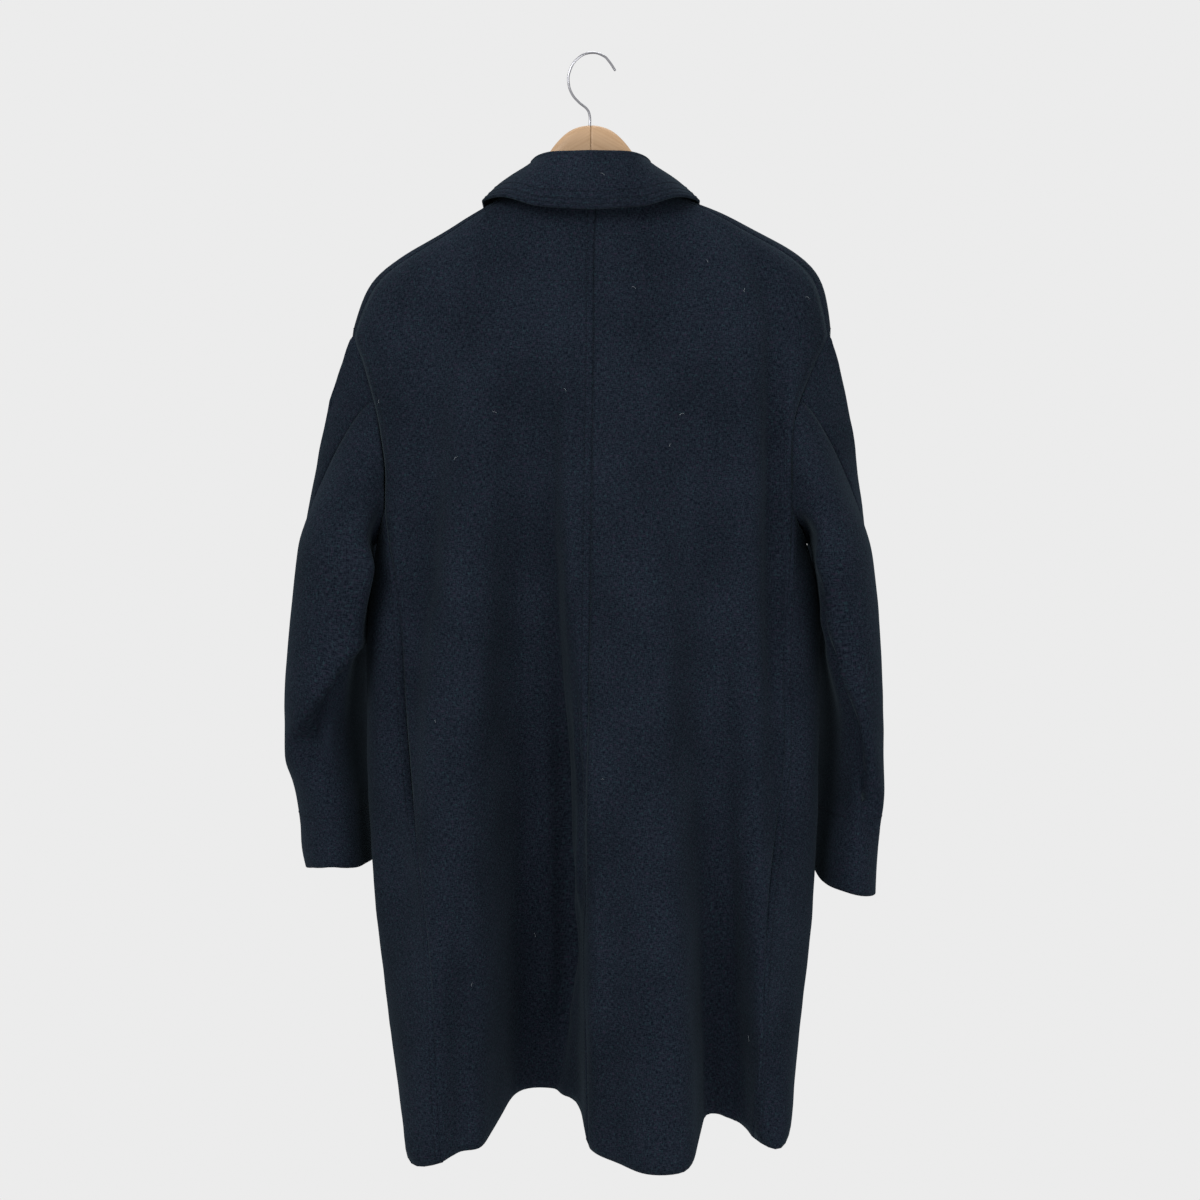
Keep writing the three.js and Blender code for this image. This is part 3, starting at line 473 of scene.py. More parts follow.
def tree_of(points):
    tree = KDTree(len(points))
    for i, point in enumerate(points):
        tree.insert(point, i)
    tree.balance()
    return tree


def creased(piece, creases):
    """Moves a panel's points along their normals, in for a trough and out for a ridge."""
    mesh = piece.data
    rows = coordinates(mesh)
    normals = directions(mesh)
    push = np.zeros(len(rows))
    for side, x1, z1, x2, z2, width, depth in creases:
        start, end = np.array([x1, z1]) * MM, np.array([x2, z2]) * MM
        along = end - start
        length = np.linalg.norm(along)
        place = rows[:, [0, 2]] - start
        t = place @ along / length**2
        away = np.abs(place @ np.array([-along[1], along[0]])) / length
        facing = np.clip((-normals[:, 1] if side == "back" else normals[:, 1]) * 2, 0, 1)
        ends = smooth_step(t, 0, 0.25) * smooth_step(1 - t, 0, 0.25)
        push += depth * MM * np.exp(-(away / (width * MM)) ** 2) * ends * facing
    set_coordinates(mesh, rows + normals * push[:, None])


for panel in panels.values():
    creased(panel, CREASES)
print(len(CREASES), "creases")

# %% [markdown]
# At the elbows the upper sleeve hangs over the forearm, which lies deeper below a slanting edge.
# Each row is such an edge, seen from one side: the cloth on its left hand, going from the first place to the second,
# is pressed in, most at the edge itself, and the cloth beside it swells out a little.
# The cloth is never pressed in further than the sleeve has room for, or it would come out at the other side.
# %% Elbows
ELBOWS = [
    # side, x1, z1, x2, z2, depth, how far the hollow reaches, swelling
    ("back", -228, -588, -312, -722, 26, 55, 4),
    ("back", 298, -805, 228, -490, 22, 40, 4),
    ("front", -306, -705, -238, -600, 5, 60, 2),
    ("front", 240, -600, 306, -715, 5, 60, 2),
]
EDGE = 5 * MM
BOTH_WALLS = 6 * MM
DEEPEST = 0.6


def skin_of(mesh):
    """A tree of a mesh's faces, for finding the nearest place on it."""
    return BVHTree.FromPolygons(coordinates(mesh).tolist(), [list(face.vertices) for face in mesh.polygons])


def shared_directions(pieces, radius=8 * MM):
    """The normals of the points of several panels, evened out across the seams between them."""
    rows = np.concatenate([coordinates(piece.data) for piece in pieces])
    normals = np.concatenate([directions(piece.data) for piece in pieces])
    tree = tree_of(rows)
    evened = np.array([normals[[i for _, i, _ in tree.find_range(row, radius)]].sum(axis=0) for row in rows])
    evened /= np.linalg.norm(evened, axis=1)[:, None]
    return np.split(evened, np.cumsum([len(piece.data.vertices) for piece in pieces])[:-1])


def room_behind(row, side, skins, reach=0.2):
    """How far the opposite wall of the sleeve is from a point, straight across."""
    inward = Vector((0, 1 if side == "back" else -1, 0))
    starts = [Vector(row) + inward * MM + Vector((across * MM, 0, 0)) for across in (-1.5, 0, 1.5)]
    return max(min((gap for gap in (skin.ray_cast(start, inward, reach)[3] for skin in skins) if gap is not None),
                   default=0.0) for start in starts)


def pressed(piece, normals, elbows, skins):
    """Presses in the cloth on one side of each edge, with a soft end at both ends."""
    mesh = piece.data
    rows = coordinates(mesh)
    push = np.zeros(len(rows))
    for side, x1, z1, x2, z2, depth, reach, swelling in elbows:
        start, end = np.array([x1, z1]) * MM, np.array([x2, z2]) * MM
        along = end - start
        length = np.linalg.norm(along)
        place = rows[:, [0, 2]] - start
        t = place @ along / length**2
        over = place @ np.array([-along[1], along[0]]) / length
        facing = np.clip((-normals[:, 1] if side == "back" else normals[:, 1]) * 2.5 + 0.3, 0, 1)
        ends = smooth_step(t, -0.08, 0.15) * smooth_step(1 - t, -0.08, 0.15)
        hollow = smooth_step(over, -EDGE, EDGE) * np.exp(-np.maximum(over, 0) / (reach * MM))
        swell = np.exp(-((over + 1.5 * EDGE) / (1.6 * EDGE)) ** 2)
        move = (swelling * swell - depth * hollow) * MM * ends * facing
        for i in np.flatnonzero(move < -MM):
            move[i] = max(move[i], -DEEPEST * max(0.0, room_behind(rows[i], side, skins) - BOTH_WALLS))
        push += move
    set_coordinates(mesh, rows + normals * push[:, None])


for name in ("left", "right"):
    sleeve = [panels[f"sleeve_{name}_{part}"] for part in ("top", "under")]
    walls = [skin_of(part.data) for part in sleeve]
    for part, normals in zip(sleeve, shared_directions(sleeve)):
        pressed(part, normals, ELBOWS, walls)
print(len(ELBOWS), "elbows")

# %% [markdown]
# A real coat is never quite even. A slow, shallow unevenness over each panel breaks up the smooth surfaces.
# It fades out at the edges of the panel, so that the seams stay closed.
# %% Slight unevenness
def edge_points(mesh):
    """The points along the open edges of a panel."""
    uses = {}
    for face in mesh.polygons:
        for key in face.edge_keys:
            uses[key] = uses.get(key, 0) + 1
    return sorted({i for key, count in uses.items() if count == 1 for i in key})


def uneven(piece, size, depth):
    mesh = piece.data
    rows = coordinates(mesh)
    tree = tree_of(rows[edge_points(mesh)])
    fade = np.array([min(1.0, tree.find(row)[2] / (30 * MM)) for row in rows])
    height = np.array([noise.noise(Vector(row) / size) for row in rows])
    set_coordinates(mesh, rows + directions(mesh) * (depth * fade * height)[:, None])


for panel in panels.values():
    uneven(panel, 70 * MM, 1.6 * MM)
    uneven(panel, 28 * MM, 0.5 * MM)
print("panels made uneven")

# %% [markdown]
# At the back of the neck the collar sits a little lower than its solid, and the tips stay where they rest.
# %% Settle the collar
COLLAR_DROP = 5 * MM
rows = coordinates(panels["collar"].data)
middle = 1 - smooth_step(np.abs(rows[:, 0]), 0.05, 0.105)
behind = 1 - smooth_step(rows[:, 1], -0.01, 0.05)
rows[:, 2] -= COLLAR_DROP * middle * behind
set_coordinates(panels["collar"].data, rows)
print("collar lowered by up to %.1f mm" % (COLLAR_DROP / MM))

# %% [markdown]
# The cuffs hang almost straight across, as seen from behind, and the hem drops steeply to the centre back seam.
# Each row says how far the lower edge of some panels is moved up or down at places across.
# The move fades out further up, and it spares the side of the sleeve or coat that faces the other way.
# %% Trim the lower edges
EDGES = [
    # panels, places across, moves up, where the move starts, where it is whole
    (["sleeve_left_top", "sleeve_left_under"], [-312, -292, -270, -250, -232], [-1, 6, 9, 5, 0], -770, -840),
    (["sleeve_right_top", "sleeve_right_under"], [232, 245, 262, 285, 300], [-12, -9, -7, -7, -7], -770, -840),
    (["back_left"], [-46, -36, -29, -23, -16, -10, -6, -3], [0, 1, 4, 8, 11, 10, 6, 0], -980, -1100),
    (["back_right"], [95, 112, 122, 135, 150], [0, 4, 7, 6, 0], -980, -1090),
]
for nodes, across, up, start, whole in EDGES:
    for node in nodes:
        mesh = panels[node].data
        rows = coordinates(mesh)
        near = smooth_step(-rows[:, 2], -start * MM, -whole * MM) * (1 - smooth_step(rows[:, 1], 0.0, 0.06))
        rows[:, 2] += np.interp(rows[:, 0], np.array(across) * MM, np.array(up) * MM) * near
        set_coordinates(mesh, rows)
print("edges trimmed:", len(EDGES))

# %% [markdown]
# Just below the armpits each sleeve hangs against the side of the coat.
# The points of the sleeve that face the coat there are moved level, until they all but touch it.
# %% Rest the sleeves against the sides
def gap_beside(rows, normals, skins, side, reach=14 * MM, step=9 * MM):
    """How far the inner side of a sleeve is from the coat, as heights and an evened-out gap at each."""
    inward = Vector((-side, 0, 0))
    nearest = {}
    for row, normal in zip(rows, normals):
        if normal[0] * -side > 0.5:
            for skin in skins:
                gap = skin.ray_cast(Vector(row), inward, reach)[3]
                if gap is not None:
                    level = round(row[2] / step)
                    nearest[level] = min(gap, nearest.get(level, reach))
    levels = np.array(sorted(nearest))
    gaps = np.array([nearest[level] for level in levels])
    gaps = np.convolve(np.pad(gaps, 1, mode="edge"), np.ones(3) / 3, mode="valid")
    return levels * step, gaps


def lean_on(nodes, bodies, side, left=0.3 * MM):
    """Moves the inner side of a sleeve level, towards the body panels."""
    evened = shared_directions([panels[node] for node in nodes])
    found = {node: (coordinates(panels[node].data), normals) for node, normals in zip(nodes, evened)}
    skins = [skin_of(panels[body].data) for body in bodies]
    rows, normals = (np.concatenate(parts) for parts in zip(*found.values()))
    heights, gaps = gap_beside(rows, normals, skins, side)
    for node, (rows, normals) in found.items():
        below = smooth_step(-rows[:, 2], 0.43, 0.50)
        above = smooth_step(rows[:, 2], -0.70, -0.60)
        facing = smooth_step(normals[:, 0] * -side, -0.6, 0.6)
        move = np.maximum(0, np.interp(rows[:, 2], heights, gaps) - left)
        rows[:, 0] -= side * move * below * above * facing
        set_coordinates(panels[node].data, rows)


for name, side in (("left", -1), ("right", 1)):
    lean_on([f"sleeve_{name}_top", f"sleeve_{name}_under"], [f"back_{name}", f"front_{name}"], side)
print("sleeves rest against the sides")

# %% [markdown]
# The solids stand 0.3 mm apart at every seam. The cloth is sewn there, so the two edges meet halfway.
# They are also drawn in a little, because a pressed seam lies lower than the cloth beside it.
# %% Sew the panels together
SEAM_REACH = 4 * MM
SEAM_SINK = 1 * MM
SEWN = [("back_left", "back_right"), ("back_left", "front_left"), ("back_right", "front_right")]
for side in ("left", "right"):
    sleeve = [f"sleeve_{side}_top", f"sleeve_{side}_under"]
    SEWN += [tuple(sleeve)] + [(body + side, part) for body in ("back_", "front_") for part in sleeve]


skins = {node: skin_of(panel.data) for node, panel in panels.items()}
steps = {node: {} for node in panels}
for pair in SEWN:
    for node, other in (pair, pair[::-1]):
        mesh = panels[node].data
        for i in edge_points(mesh):
            place = skins[other].find_nearest(mesh.vertices[i].co, SEAM_REACH)[0]
            if place is not None:
                steps[node].setdefault(i, []).append((place - mesh.vertices[i].co) / 2)
for node, moves in steps.items():
    mesh = panels[node].data
    rows, normals = coordinates(mesh), directions(mesh)
    for i, found in moves.items():
        rows[i] += np.mean(found, axis=0) - normals[i] * SEAM_SINK
    set_coordinates(mesh, rows)
skins = {node: skin_of(panel.data) for node, panel in panels.items()}
print({node: len(moves) for node, moves in steps.items()}, "points sewn")

# %% [markdown]
# Topstitching is sewn beside a seam. It presses the cloth down along its line and leaves a low welt beside the seam.
# To know where, the edge of each panel is cut into runs of points, one for every seam that is stitched.
# %% Find the seams
STITCHED = [
    # panel, the panels it is sewn to, distance of the stitches from the seam in millimetres
    ("back_left", ["back_right"], 8),
    ("back_left", ["sleeve_left_top", "sleeve_left_under"], 9),
    ("back_right", ["sleeve_right_top", "sleeve_right_under"], 9),
    ("front_left", ["sleeve_left_top", "sleeve_left_under"], 9),
    ("front_right", ["sleeve_right_top", "sleeve_right_under"], 9),
    ("front_left", ["back_left"], 8),
    ("front_right", ["back_right"], 8),
]


def seam_points(node, others, reach=1.2 * MM):
    """The edge points of a panel that lie at the edge of one of the others."""
    mesh = panels[node].data
    return [i for i in edge_points(mesh)
            if any(skins[other].find_nearest(mesh.vertices[i].co, reach)[0] is not None for other in others)]


def runs(links):
    """Chains of points, from a table of which points each one is joined to."""
    found = []
    while links:
        start = next((i for i, near in links.items() if len(near) == 1), next(iter(links)))
        run = [start]
        while True:
            onward = [i for i in links.get(run[-1], []) if i not in run[-2:]]
            if not onward or onward[0] == start:
                break
            run.append(onward[0])
        for i in run:
            links.pop(i, None)
        links = {a: [b for b in near if b in links] for a, near in links.items()}
        if len(run) > 6:
            found.append(run)
    return found


def edge_runs(mesh, points):
    """The points in order, as runs along the panel's edge."""
    chosen = set(points)
    uses = {}
    for face in mesh.polygons:
        for key in face.edge_keys:
            uses[key] = uses.get(key, 0) + 1
    links = {}
    for (a, b), count in uses.items():
        if count == 1 and a in chosen and b in chosen:
            links.setdefault(a, []).append(b)
            links.setdefault(b, []).append(a)
    return runs(links)


seam_runs = []
for node, others, distance in STITCHED:
    for run in edge_runs(panels[node].data, seam_points(node, others)):
        seam_runs.append((node, run, distance * MM))
print([(node, len(run)) for node, run, _ in seam_runs])

# %% [markdown]
# The collar is stitched in three rows beside its edge, and the overlap at the front in one.
# These edges are free, so they are found by their place: the fall of the collar looks away from the neck,
# and the front edge runs down the middle of the front.
# %% Find the free edges that are stitched
COLLAR_ROWS = [4 * MM, 9.5 * MM, 18 * MM]
FRONT_ROW = 8 * MM
collar_mesh = panels["collar"].data
away = directions(collar_mesh)
fall_edge = [i for i in edge_points(collar_mesh)
             if away[i] @ (np.array(collar_mesh.vertices[i].co) - np.array([0, 0.01, collar_mesh.vertices[i].co.z])) > 0]
free_runs = [("collar", run, distance) for run in edge_runs(collar_mesh, fall_edge) for distance in COLLAR_ROWS]
front_mesh = panels["front_left"].data
front_edge = [i for i in edge_points(front_mesh)
              if abs(front_mesh.vertices[i].co.x) < 0.07 and front_mesh.vertices[i].co.y > 0
              and -1.1 < front_mesh.vertices[i].co.z < -0.17]
free_runs += [("front_left", run, FRONT_ROW) for run in edge_runs(front_mesh, front_edge)]
print([(node, len(run), round(distance / MM, 1)) for node, run, distance in free_runs])

# %% [markdown]
# Every point of a panel keeps its distance from the nearest row of stitches, as an attribute named "row".
# It is the distance from the edge less that of the row, so it grows evenly across the row, and a material can press
# the cloth down where it is nought.
# %% Store the distance from the rows
FAR = 40 * MM


def store_rows(node, node_runs):
    mesh = panels[node].data
    rows = coordinates(mesh)
    value = np.full(len(rows), FAR)
    for run, distance in node_runs:
        tree = tree_of(rows[run])
        away = np.array([tree.find(row)[2] for row in rows]) - distance
        value = np.where(np.abs(away) < np.abs(value), away, value)
    attribute = mesh.attributes.new("row", "FLOAT", "POINT")
    attribute.data.foreach_set("value", value)


for node in panels:
    found = [(run, distance) for name, run, distance in seam_runs + free_runs if name == node]
    if node == "collar":
        found = [(run, 0.0) for run, distance in found if distance == COLLAR_ROWS[0]]
    store_rows(node, found)
print("rows stored")

# %% [markdown]
# The line of a row lies on the cloth at its distance from the edge.
# It is stepped in from the edge along the surface, brought back to the cloth and evened out.
# %% Draw the rows on the cloth
def inset_line(node, run, distance):
    """Places and normals on a panel along a row beside a run of its edge."""
    mesh, skin = panels[node].data, skins[node]
    rows, normals = coordinates(mesh)[run], directions(mesh)[run]
    along = np.gradient(rows, axis=0)
    along /= np.linalg.norm(along, axis=1)[:, None]
    inward = np.cross(normals, along)
    misses = [sum(skin.find_nearest(Vector(row))[3] for row in rows + sign * inward * distance) for sign in (1, -1)]
    inward *= 1 if misses[0] < misses[1] else -1
    line = rows + inward * distance
    for _ in range(3):
        line[1:-1] = (line[:-2] + 2 * line[1:-1] + line[2:]) / 4
    return [skin.find_nearest(Vector(place))[:2] for place in line]


def cross_row(node, z, x1, x2):
    """Places and normals along a level row on the outside of a panel, between two places across."""
    bm = bmesh.new()
    bm.from_mesh(panels[node].data)
    cut = bmesh.ops.bisect_plane(bm, geom=bm.verts[:] + bm.edges[:] + bm.faces[:],
                                 plane_co=(0, 0, z), plane_no=(0, 0, 1))["geom_cut"]
    bm.verts.index_update()
    places = {v.index: v.co.copy() for v in cut if isinstance(v, bmesh.types.BMVert) and x1 <= v.co.x <= x2}
    links = {}
    for edge in cut:
        if isinstance(edge, bmesh.types.BMEdge) and all(v.index in places for v in edge.verts):
            a, b = (v.index for v in edge.verts)
            links.setdefault(a, []).append(b)
            links.setdefault(b, []).append(a)
    bm.free()
    return [[skins[node].find_nearest(places[i])[:2] for i in run] for run in runs(links)]


CROSS_ROWS = [
    # panels, height, from, to: the label inside the neck is sewn through, and both cuffs are hemmed
    (["back_left", "back_right"], -191, -24, 36),
    (["back_left", "back_right"], -237, -55, 75),
    (["sleeve_left_top", "sleeve_left_under"], -790, -400, 0),
    (["sleeve_right_top", "sleeve_right_under"], -792, 0, 400),
]
stitch_lines = [(node, inset_line(node, run, distance)) for node, run, distance in seam_runs + free_runs]
for nodes, z, x1, x2 in CROSS_ROWS:
    for node in nodes:
        stitch_lines += [(node, line) for line in cross_row(node, z * MM, x1 * MM, x2 * MM)]
print([(node, len(line)) for node, line in stitch_lines])

# %% [markdown]
# One stitch is a short stretch of thread that goes in at both ends.
# It is modelled once, from a low sphere drawn out to its length, and copied along the rows.
# The stitches of a panel are one piece, because the thread is continuous beneath the cloth.
# %% Sew the stitches
STITCH = 2.7 * MM
PITCH = 3.8 * MM
THREAD = 0.38 * MM
bpy.ops.object.select_all(action="DESELECT")
bpy.ops.mesh.primitive_uv_sphere_add(segments=6, ring_count=4, radius=1, rotation=(0, math.radians(90), 0))
bpy.ops.object.transform_apply(location=False, rotation=True, scale=False)
bpy.ops.object.mode_set(mode="EDIT")
bpy.ops.mesh.select_all(action="SELECT")
bpy.ops.transform.resize(value=(STITCH / 2, THREAD, THREAD))
bpy.ops.object.mode_set(mode="OBJECT")
one_stitch = bpy.context.object
STITCH_POINTS = coordinates(one_stitch.data)
STITCH_FACES = [list(face.vertices) for face in one_stitch.data.polygons]
bpy.data.objects.remove(one_stitch)


def spaced(line, pitch):
    """Places, directions and normals at an even pitch along a line."""
    places = np.array([place for place, _ in line])
    normals = np.array([normal for _, normal in line])
    run = np.concatenate([[0], np.cumsum(np.linalg.norm(np.diff(places, axis=0), axis=1))])
    at = np.arange(pitch / 2, run[-1], pitch)
    even = np.stack([np.interp(at, run, places[:, k]) for k in range(3)], axis=1)
    up = np.stack([np.interp(at, run, normals[:, k]) for k in range(3)], axis=1)
    along = np.gradient(even, axis=0) if len(even) > 1 else np.array([[1.0, 0, 0]])
    return zip(even, along / np.linalg.norm(along, axis=1)[:, None], up / np.linalg.norm(up, axis=1)[:, None])


def sew(node, lines):
    """The stitches of one panel as one mesh."""
    points, faces = [], []
    for line in lines:
        for place, along, up in spaced(line, PITCH):
            across = np.cross(up, along)
            turned = STITCH_POINTS @ np.array([along, across, np.cross(along, across)])
            faces += [[i + len(points) * len(STITCH_POINTS) for i in face] for face in STITCH_FACES]
            points.append(place + turned + up * THREAD * 0.3)
    mesh = bpy.data.meshes.new(node + "_stitches")
    mesh.from_pydata(np.concatenate(points).tolist(), [], faces)
    mesh.polygons.foreach_set("use_smooth", [True] * len(faces))
    return new_piece(node + "_stitches", mesh), len(points)


stitches = {}
for node in panels:
    lines = [line for name, line in stitch_lines if name == node]
    if lines:
        stitches[node], count = sew(node, lines)
        print(node, count, "stitches")

# %% [markdown]
# Wool for a coat is spun from fibres of several colours, so close to it is a mix of dark blue, teal and a little purple.
# The short streaks of the threads run down and across, and a raised surface hides the weave itself.
# One group makes the colour and the height of this cloth from its flat pattern, so all panels share it.
# %% A group for the woollen cloth
def group(name, inputs, outputs):
    """A node group with named sockets, each given as a name, a kind and, for inputs, a value."""
    tree = bpy.data.node_groups.new(name, "ShaderNodeTree")
    for label, kind, value in inputs:
        made = tree.interface.new_socket(name=label, in_out="INPUT", socket_type="NodeSocket" + kind)
        if value is not None:
            made.default_value = value
    for label, kind in outputs:
        tree.interface.new_socket(name=label, in_out="OUTPUT", socket_type="NodeSocket" + kind)
    return tree, tree.nodes.new("NodeGroupInput"), tree.nodes.new("NodeGroupOutput")


def add(tree, kind, inputs=(), **settings):
    """A node, with its settings, and its inputs either set or joined to another node's socket."""
    node = tree.nodes.new("ShaderNode" + kind)
    for name, value in settings.items():
        setattr(node, name, value)
    for name, value in dict(inputs).items():
        if isinstance(value, bpy.types.NodeSocket):
            tree.links.new(value, node.inputs[name])
        else:
            node.inputs[name].default_value = value
    return node


def sum_of(tree, kind, *values):
    """A chain of the same sum over several values."""
    total = values[0]
    for value in values[1:]:
        total = add(tree, "Math", {0: total, 1: value}, operation=kind).outputs[0]
    return total


def noise_along(tree, place, scale, detail=2.0, offset=0.0):
    """Noise over a place that is stretched by three scales."""
    spread = add(tree, "Mapping", {"Vector": place, "Scale": scale, "Location": (offset, offset, offset)})
    return add(tree, "TexNoise", {"Vector": spread.outputs[0], "Scale": 1.0, "Detail": detail}).outputs["Fac"]


def stepped(tree, value, low, high):
    """A soft step of a value from nought to one."""
    return add(tree, "MapRange", {"Value": value, "From Min": low, "From Max": high},
               interpolation_type="SMOOTHSTEP").outputs[0]


def mixed(tree, share, first, second, kind="MIX"):
    return add(tree, "Mix", {0: share, 6: first, 7: second}, data_type="RGBA", blend_type=kind).outputs[2]


THREAD_WIDTH = 1200
STREAK = 260
wool_tree, taken, given = group(
    "woollen cloth",
    [("Cloth", "Vector", None), ("Dark", "Color", (0.0025, 0.0036, 0.0067, 1)), ("Light", "Color", (0.0115, 0.016, 0.0235, 1)),
     ("Teal", "Color", (0.012, 0.026, 0.032, 1)), ("Purple", "Color", (0.0185, 0.0148, 0.027, 1))],
    [("Colour", "Color"), ("Height", "Float")])
cloth = taken.outputs["Cloth"]
down = noise_along(wool_tree, cloth, (THREAD_WIDTH, STREAK, 1))
across = noise_along(wool_tree, cloth, (STREAK, THREAD_WIDTH, 1), offset=7)
grain = sum_of(wool_tree, "MULTIPLY", sum_of(wool_tree, "ADD", down, across), 0.5)
tone = mixed(wool_tree, stepped(wool_tree, grain, 0.36, 0.64), taken.outputs["Dark"], taken.outputs["Light"])
teal = stepped(wool_tree, noise_along(wool_tree, cloth, (420, 300, 1), 1, 20), 0.58, 0.72)
tone = mixed(wool_tree, sum_of(wool_tree, "MULTIPLY", teal, 0.55), tone, taken.outputs["Teal"])
purple = stepped(wool_tree, noise_along(wool_tree, cloth, (260, 380, 1), 1, 40), 0.58, 0.72)
tone = mixed(wool_tree, sum_of(wool_tree, "MULTIPLY", purple, 0.45), tone, taken.outputs["Purple"])
patch = stepped(wool_tree, noise_along(wool_tree, cloth, (90, 60, 1), 2, 90), 0.4, 0.7)
tone = mixed(wool_tree, sum_of(wool_tree, "MULTIPLY", patch, 0.07), tone, taken.outputs["Purple"])
slow = add(wool_tree, "MapRange", {"Value": noise_along(wool_tree, cloth, (16, 11, 1), 2, 60),
                                   "From Min": 0.3, "From Max": 0.7, "To Min": 0.86, "To Max": 1.14}).outputs[0]
tone = mixed(wool_tree, 1.0, tone, add(wool_tree, "CombineColor", {0: slow, 1: slow, 2: slow}).outputs[0], "MULTIPLY")
wool_tree.links.new(tone, given.inputs["Colour"])
wool_tree.links.new(sum_of(wool_tree, "ADD", down, across, noise_along(wool_tree, cloth, (1100, 1100, 1), 1, 80)),
                    given.inputs["Height"])
print("group", wool_tree.name)

# %% [markdown]
# A row of stitches pulls the cloth down in a narrow trough, and the cloth swells on both sides of it.
# The second group makes that height from the distance to the row.
# %% A group for stitched rows
TROUGH = 1.1 * MM
WELT = 3.2 * MM
row_tree, taken, given = group("stitched row", [("Distance", "Float", 0.04), ("Row", "Float", 0.0)],
                               [("Height", "Float")])
aside = sum_of(row_tree, "SUBTRACT", taken.outputs["Distance"], taken.outputs["Row"])


def bump_over(width):
    ratio = sum_of(row_tree, "DIVIDE", aside, width)
    square = sum_of(row_tree, "MULTIPLY", ratio, ratio)
    return add(row_tree, "Math", {0: sum_of(row_tree, "MULTIPLY", square, -1.0)}, operation="EXPONENT").outputs[0]


row_tree.links.new(sum_of(row_tree, "SUBTRACT", sum_of(row_tree, "MULTIPLY", bump_over(WELT), 0.6), bump_over(TROUGH)),
                   given.inputs["Height"])
print("group", row_tree.name)

# %% [markdown]
# The wool is matt and its fuzz catches the light at the edges, so it has a wide sheen and hardly any shine.
# The collar's three rows lie at their own distances, so it has a material of its own from the same two groups.
# %% Materials for the wool and its thread
def use_group(tree, inner, **inputs):
    node = tree.nodes.new("ShaderNodeGroup")
    node.node_tree = inner
    for name, value in inputs.items():
        if isinstance(value, bpy.types.NodeSocket):
            tree.links.new(value, node.inputs[name])
        else:
            node.inputs[name].default_value = value
    return node


def new_material(name, **values):
    """A material whose shader has these even values."""
    made = bpy.data.materials.new(name)
    made.use_nodes = True
    shader = made.node_tree.nodes["Principled BSDF"]
    for label, value in values.items():
        shader.inputs[label.replace("_", " ")].default_value = value
    return made, made.node_tree, shader


def wool(name, rows):
    made, tree, shader = new_material(name, Roughness=0.95, Specular_IOR_Level=0.0, Sheen_Weight=0.035,
                                      Sheen_Roughness=0.45, Sheen_Tint=(0.55, 0.75, 0.85, 1))
    cloth = use_group(tree, wool_tree, Cloth=add(tree, "UVMap").outputs[0])
    distance = add(tree, "Attribute", attribute_name="row").outputs["Fac"]
    lines = sum_of(tree, "ADD", *[use_group(tree, row_tree, Distance=distance, Row=row).outputs[0] for row in rows])
    pressed = add(tree, "Bump", {"Height": lines, "Strength": 0.9, "Distance": 0.7 * MM})
    fuzzy = add(tree, "Bump", {"Height": cloth.outputs["Height"], "Strength": 0.5, "Distance": 0.22 * MM,
                               "Normal": pressed.outputs[0]})
    tree.links.new(cloth.outputs["Colour"], shader.inputs["Base Color"])
    tree.links.new(fuzzy.outputs[0], shader.inputs["Normal"])
    return made


body_wool = wool("wool", [0.0])
collar_wool = wool("collar_wool", COLLAR_ROWS)
thread, _, _ = new_material("thread", Base_Color=(0.006, 0.0085, 0.0125, 1), Roughness=0.9, Specular_IOR_Level=0.05)
for node, piece in stitches.items():
    piece.data.materials.append(thread)
print("materials for", len(panels), "panels and their stitches")

# %% [markdown]
# Dark wool always picks up a few pale fibres. Each one is a short curved hair that lies on the cloth.
# The clearest ones are where the photo shows them and the rest are strewn at random, from a fixed seed.
# %% Lint on the back
random.seed(7)
HAIR = 0.1 * MM
LINT = [
    # x, z, length and slant in degrees
    (12, -131, 5, -35), (92, -372, 5, 20), (80, -403, 4, 60), (118, -217, 4, -60), (223, -252, 6, -5),
    (248, -287, 5, -40), (156, -246, 4, 80), (-136, -416, 5, 30), (-97, -370, 4, -20), (-218, -358, 4, 60),
]
LINT += [(random.uniform(-170, 170), random.uniform(-1050, -200), random.uniform(3, 6), random.uniform(-90, 90))
         for _ in range(7)]


def on_back(x, z):
    """The place on the cloth behind which a point of the photo lies, the panel it is on, and its normal."""
    hits = [(node, *skins[node].ray_cast(Vector((x, -1, z)), Vector((0, 1, 0)))) for node in panels]
    hits = [hit for hit in hits if hit[1] is not None]
    node, place, normal, _, _ = min(hits, key=lambda hit: hit[4])
    return node, place, normal


hairs = {}
for x, z, length, slant in LINT:
    node, place, normal = on_back(x * MM, z * MM)
    along = Vector((math.cos(math.radians(slant)), 0, math.sin(math.radians(slant))))
    along = (along - normal * along.dot(normal)).normalized() * length * MM / 2
    bend = normal.cross(along) * random.uniform(0.2, 0.5)
    lift = normal * HAIR * 1.5
    hairs.setdefault(node, []).append([place - along + lift, place + bend + lift * 2, place + along + lift])
for node, found in hairs.items():
    curve = bpy.data.curves.new(node + "_lint", "CURVE")
    curve.dimensions = "3D"
    curve.bevel_depth = HAIR
    curve.bevel_resolution = 1
    curve.use_fill_caps = True
    for points in found:
        spline = curve.splines.new("BEZIER")
        spline.bezier_points.add(2)
        for point, place in zip(spline.bezier_points, points):
            point.co = place
            point.handle_left_type = point.handle_right_type = "AUTO"
    hairs[node] = new_piece(node + "_lint", curve)
    pick(hairs[node])
    bpy.ops.object.convert(target="MESH")
    print(node, "lint,", len(found), "fibres")
lint, _, _ = new_material("lint", Base_Color=(0.2, 0.23, 0.25, 1), Roughness=0.7)
for piece in hairs.values():
    piece.data.materials.append(lint)

